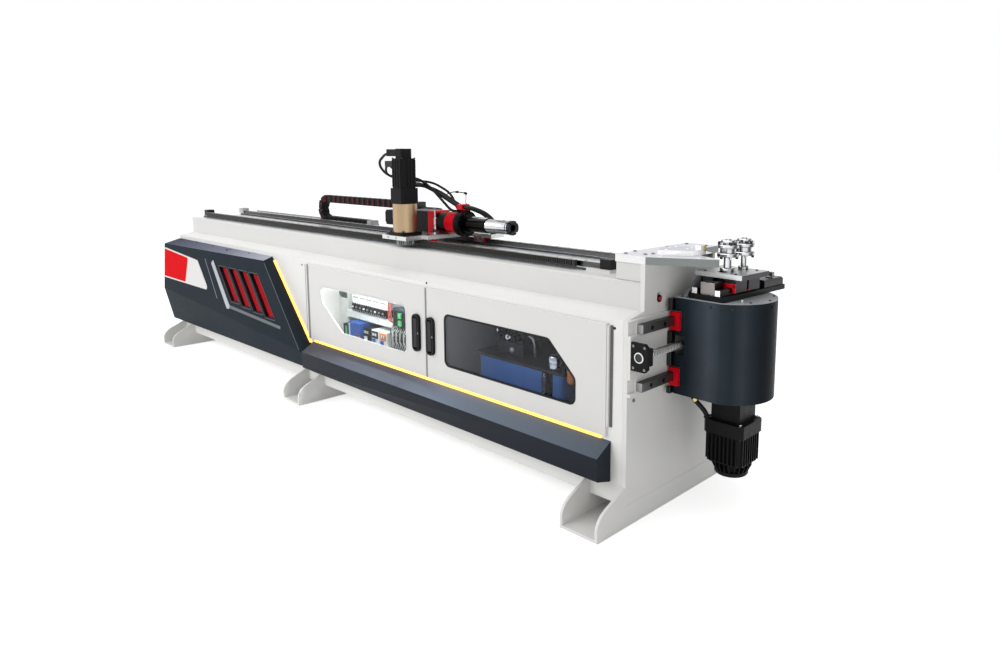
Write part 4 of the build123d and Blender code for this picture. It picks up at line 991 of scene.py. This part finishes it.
def device(x0, x1, depth, z0, z1, slot):
    """Shell over one device; gives its front."""
    y = PANEL_Y - depth - 1.5
    part(x0 - 1, x1 + 1, y, PANEL_Y, z0 - 1, z1 + 1, slot)
    return y


y = device(96, 436, 90, 536, 612, 0)
for k in range(5):
    x = 102 + 66 * k
    part(x, x + 60, y - 3, y + 1, 541, 606, 0)
    part(x + 4, x + 56, y - 4, y, 566, 574, 6)
for k in range(9):
    x = 60 + 37 * k
    y = device(x, x + 34, 70, 482, 532, 1)
    part(x + 5, x + 29, y - 6, y + 1, 494, 520, 1)
    part(x + 12, x + 22, y - 12, y - 5, 502, 512, 6 if k % 3 else 0)
    for dx, z in product((8, 26), (487, 527)):
        fronts.screw((DUCT_X + x + dx, y, z), FRONT, 3.2, 1.5, 5)
y = device(24, 68, 110, 325, 405, 1)
for x, look in ((30, 1), (48, 3)):
    part(x, x + 14, y - 4, y + 1, 340, 396, look)
y = device(76, 188, 110, 325, 424, 2)
part(84, 92, y - 3, y + 1, 330, 418, 0)
part(176, 187, y - 5, y + 1, 352, 366, 4)
for i in range(3):
    x = 208 + 78 * i
    y = device(x, x + 66, 95, 325, 410, 0 if i else 1)
    part(x + 6, x + 60, y - 4, y + 1, 366, 404, 1 if i < 2 else 7)
    part(x + 10, x + 34, y - 6, y + 1, 332, 362, 2 if i else 0)
    for k in range(5):
        part(x + 8 + 10 * k, x + 15 + 10 * k, y - 7, y, 380, 394, 0 if k % 2 else 6)
for x in (498, 690):
    y = device(x, x + 150, 100, 320, 562, 8)
    part(x + 10, x + 140, y - 4, y + 1, 330, 552, 1)
    for z in (476, 516):
        part(x + 58, x + 82, y - 12, y - 3, z, z + 28, 3)
    for row in range(6):
        part(x + 20, x + 46, y - 7, y - 3, 352 + 22 * row, 358 + 22 * row, 6)
        part(x + 60, x + 126, y - 6, y - 3, 342 + 20 * row, 346 + 20 * row, 8)
for k in range(9):
    x, y = DUCT_X + 440 + 4.4 * k, -160 - 3 * (k % 3)
    fronts.tube([(x, -136, 466), (x, y, 484), (x + 2, y - 6, 540), (x, y - 2, 590), (x, -136, 614)],
                2.3, 8, 9 if k % 3 else 0)
for k in range(12):
    x, dip = DUCT_X + 500 + 11 * k, 9 * (k % 3)
    fronts.tube([(x, -178, 470 - dip), (x + 4, -190 - dip / 3, 440), (x + 10 - dip, -192, 400),
                 (x - 6 + dip, -188, 360), (x + 4, -178, 334)], 1.6, 6, 0 if k % 3 else 6)
for k in range(6):
    x, y = DUCT_X + 420 + 14 * k, PANEL_Y - 66
    fronts.tube([(x, y, 436), (x + 12, y - 8, 412), (x + 34, y - 10, 392), (x + 70, y - 8, 384)],
                2.6, 8, 0 if k % 2 else 8)
for k in range(12):
    x = 60 + 24 * k
    part(x, x + 22, PANEL_Y - 52, PANEL_Y, 194, 251, 3 if k % 4 == 3 else 0)
fronts.done(0.001)

light = Piece("bay_lamp", "frame", PALE, BAY_LIGHT)
light.box(-2100, -1150, -320, -280, 752, 762)
light.box(-2080, -1170, -314, -286, 745, 753, 1)
light.done(0.002)

vent = Piece("bay_vent", "frame", DARK_GREEN, PLASTIC, STEEL)
cover = PANEL_Y - 64
grille = rect(DUCT_X - 84, DUCT_X - 3, 541, 594, [30, 4, 2, 2])
vent.prism(on_front(grille, cover), (0, -3, 0))
for k in range(4):
    vent.box(DUCT_X - 62 + 4 * k, DUCT_X - 8, cover - 6, cover - 2, 584 - 11 * k, 588 - 11 * k, 1)
for x, z in ((DUCT_X - 6, 530), (DUCT_X - 6, 420), (DUCT_X - 88, 610)):
    vent.screw((x, cover, z), FRONT, 3.5, 2, 2)
vent.done()

# Hydraulic bay: level gauge, breather cap, valve coils, filter and pipes
gauge = Piece("level_gauge", "frame", PLASTIC, CHROME, RED_CAP)
gauge.prism(on_front(rect(-418, -386, 380, 470, 8), -240), (0, -9, 0))
gauge.prism(on_front(rect(-411, -393, 392, 458, 6), -248), (0, -4, 0), 1)
gauge.box(-403.5, -400.5, -253, -251, 396, 432, 2)
for z in (386, 464):
    gauge.screw((-402, -249, z), FRONT, 4.5, 3, 1)
gauge.done(0.0008)

valves = Piece("valve_coils", "frame", CHROME, BLACK, STEEL)
for x, look in ((-723, 1), (-673, 0), (-623, 1)):
    valves.knob((x, -170, 565), FRONT, [(16, -2), (16, 26), (11, 30), (6, 30), (6, 36)], 24, look)
    valves.corners(x, -125, 595, 11, 20, 4, 3.5)
valves.lathe((-373, -212, 489), UP, [
    (27, 0), (29, 2), (29, 20), (27, 22), (30, 24), (30, 46), (27, 52), (0, 54)], 36)
valves.knob((-660, -180, 505), FRONT, [(14, -2), (14, 6), (11, 8)], 6, 2)
valves.lathe((-747, -172, 585), FRONT, [(0, -2), (5, -2), (5, 12), (9, 14), (9, 20), (0, 22)], 18)
valves.tube([(-606, -140, 566), (-596, -150, 574), (-580, -152, 576), (-566, -146, 566), (-562, -140, 540),
             (-562, -136, 484)], 6, 12, 2)
valves.box(-420, -364, -242, -239.5, 200, 470, 1)
valves.done()

bowl = Piece("filter_bowl", "frame", ORANGE, BLACK)
bowl.knob((-247, -244, 455), UP, [(18, 0), (25, 7), (25, 54), (22, 60)], 36)
bowl.knob((-247, -244, 514), UP, [(27, 0), (27, 14), (20, 18)], 36, 1)
bowl.box(-312, -300, -240, -228, 485, 530, 1)
bowl.box(-312, -250, -240, -228, 518, 530, 1)
bowl.done()

# Camera, light and floor
CAMERA_PLACE = (1.6208, -2.4083, 1.3655)
turn, dip = radians(43.75), radians(7.94)
right = Vector((cos(turn), sin(turn), 0))
ahead = Vector((-sin(turn) * cos(dip), cos(turn) * cos(dip), -sin(dip)))
over = right.cross(ahead)
camera = placed("camera", bpy.data.cameras.new("camera"))
rotation = Matrix((right, over, -ahead)).transposed().to_4x4()
camera.matrix_world = Matrix.Translation(CAMERA_PLACE) @ rotation
view = camera.data
view.sensor_width, view.lens, view.clip_end = 36, 26.55, 100
view.shift_x, view.shift_y = -0.0366, -0.0763
scene.camera = camera


def seen_strength(tree, low, high):
    """A high strength to the eye, metal and glass, and a low one as a light."""
    path = tree.add("LightPath", {}).outputs
    seen = path["Is Camera Ray"]
    for ray in ("Is Glossy Ray", "Is Transmission Ray"):
        seen = tree.add("Math", {0: seen, 1: path[ray]}, operation="MAXIMUM").outputs[0]
    return tree.add("MapRange", {"Value": seen, "To Min": low, "To Max": high}).outputs[0]


world = bpy.data.worlds.new("studio")
scene.world = world
world.use_nodes = True
sky = Tree(world.node_tree)
background = world.node_tree.nodes["Background"]
sky.feed(background.inputs[0], (1, 1, 1))
sky.feed(background.inputs[1], seen_strength(sky, 0.5, 1))
scene.view_settings.view_transform = "Standard"
scene.view_settings.look = "None"


def lamp(name, place, target, size, power):
    data = bpy.data.lights.new(name, "AREA")
    data.shape = "RECTANGLE"
    data.size, data.size_y = size
    data.energy = power
    obj = placed(name, data)
    obj.location = place
    obj.rotation_euler = (Vector(target) - Vector(place)).to_track_quat("-Z", "Y").to_euler()


lamp("key", (-3.6, -6.5, 4.2), (-1.6, 0, 0.6), (6, 3), 250)
lamp("top", (-1.8, 0.4, 6), (-1.8, 0.1, 0.9), (6, 3), 90)
lamp("side", (4.5, -2, 2.6), (0, 0, 0.7), (2.5, 2.5), 12)

FLOOR_CORNERS = [(-60, -60, 0), (60, -60, 0), (60, 60, 0), (-60, 60, 0)]
floor_mesh = bpy.data.meshes.new("floor")
floor_mesh.from_pydata(FLOOR_CORNERS, [], [(0, 1, 2, 3)])
floor = placed("floor", floor_mesh)
ground = Nodes("floor_paint")
ground_tone = ground.ramp(ground.noise(0.8), [(0.3, (0.93, 0.93, 0.93)), (0.7, (0.95, 0.95, 0.95))])
floor.data.materials.append(ground.surface(ground_tone, 0.75))
ground.glow((1, 1, 1), seen_strength(ground, 0, 0.55))
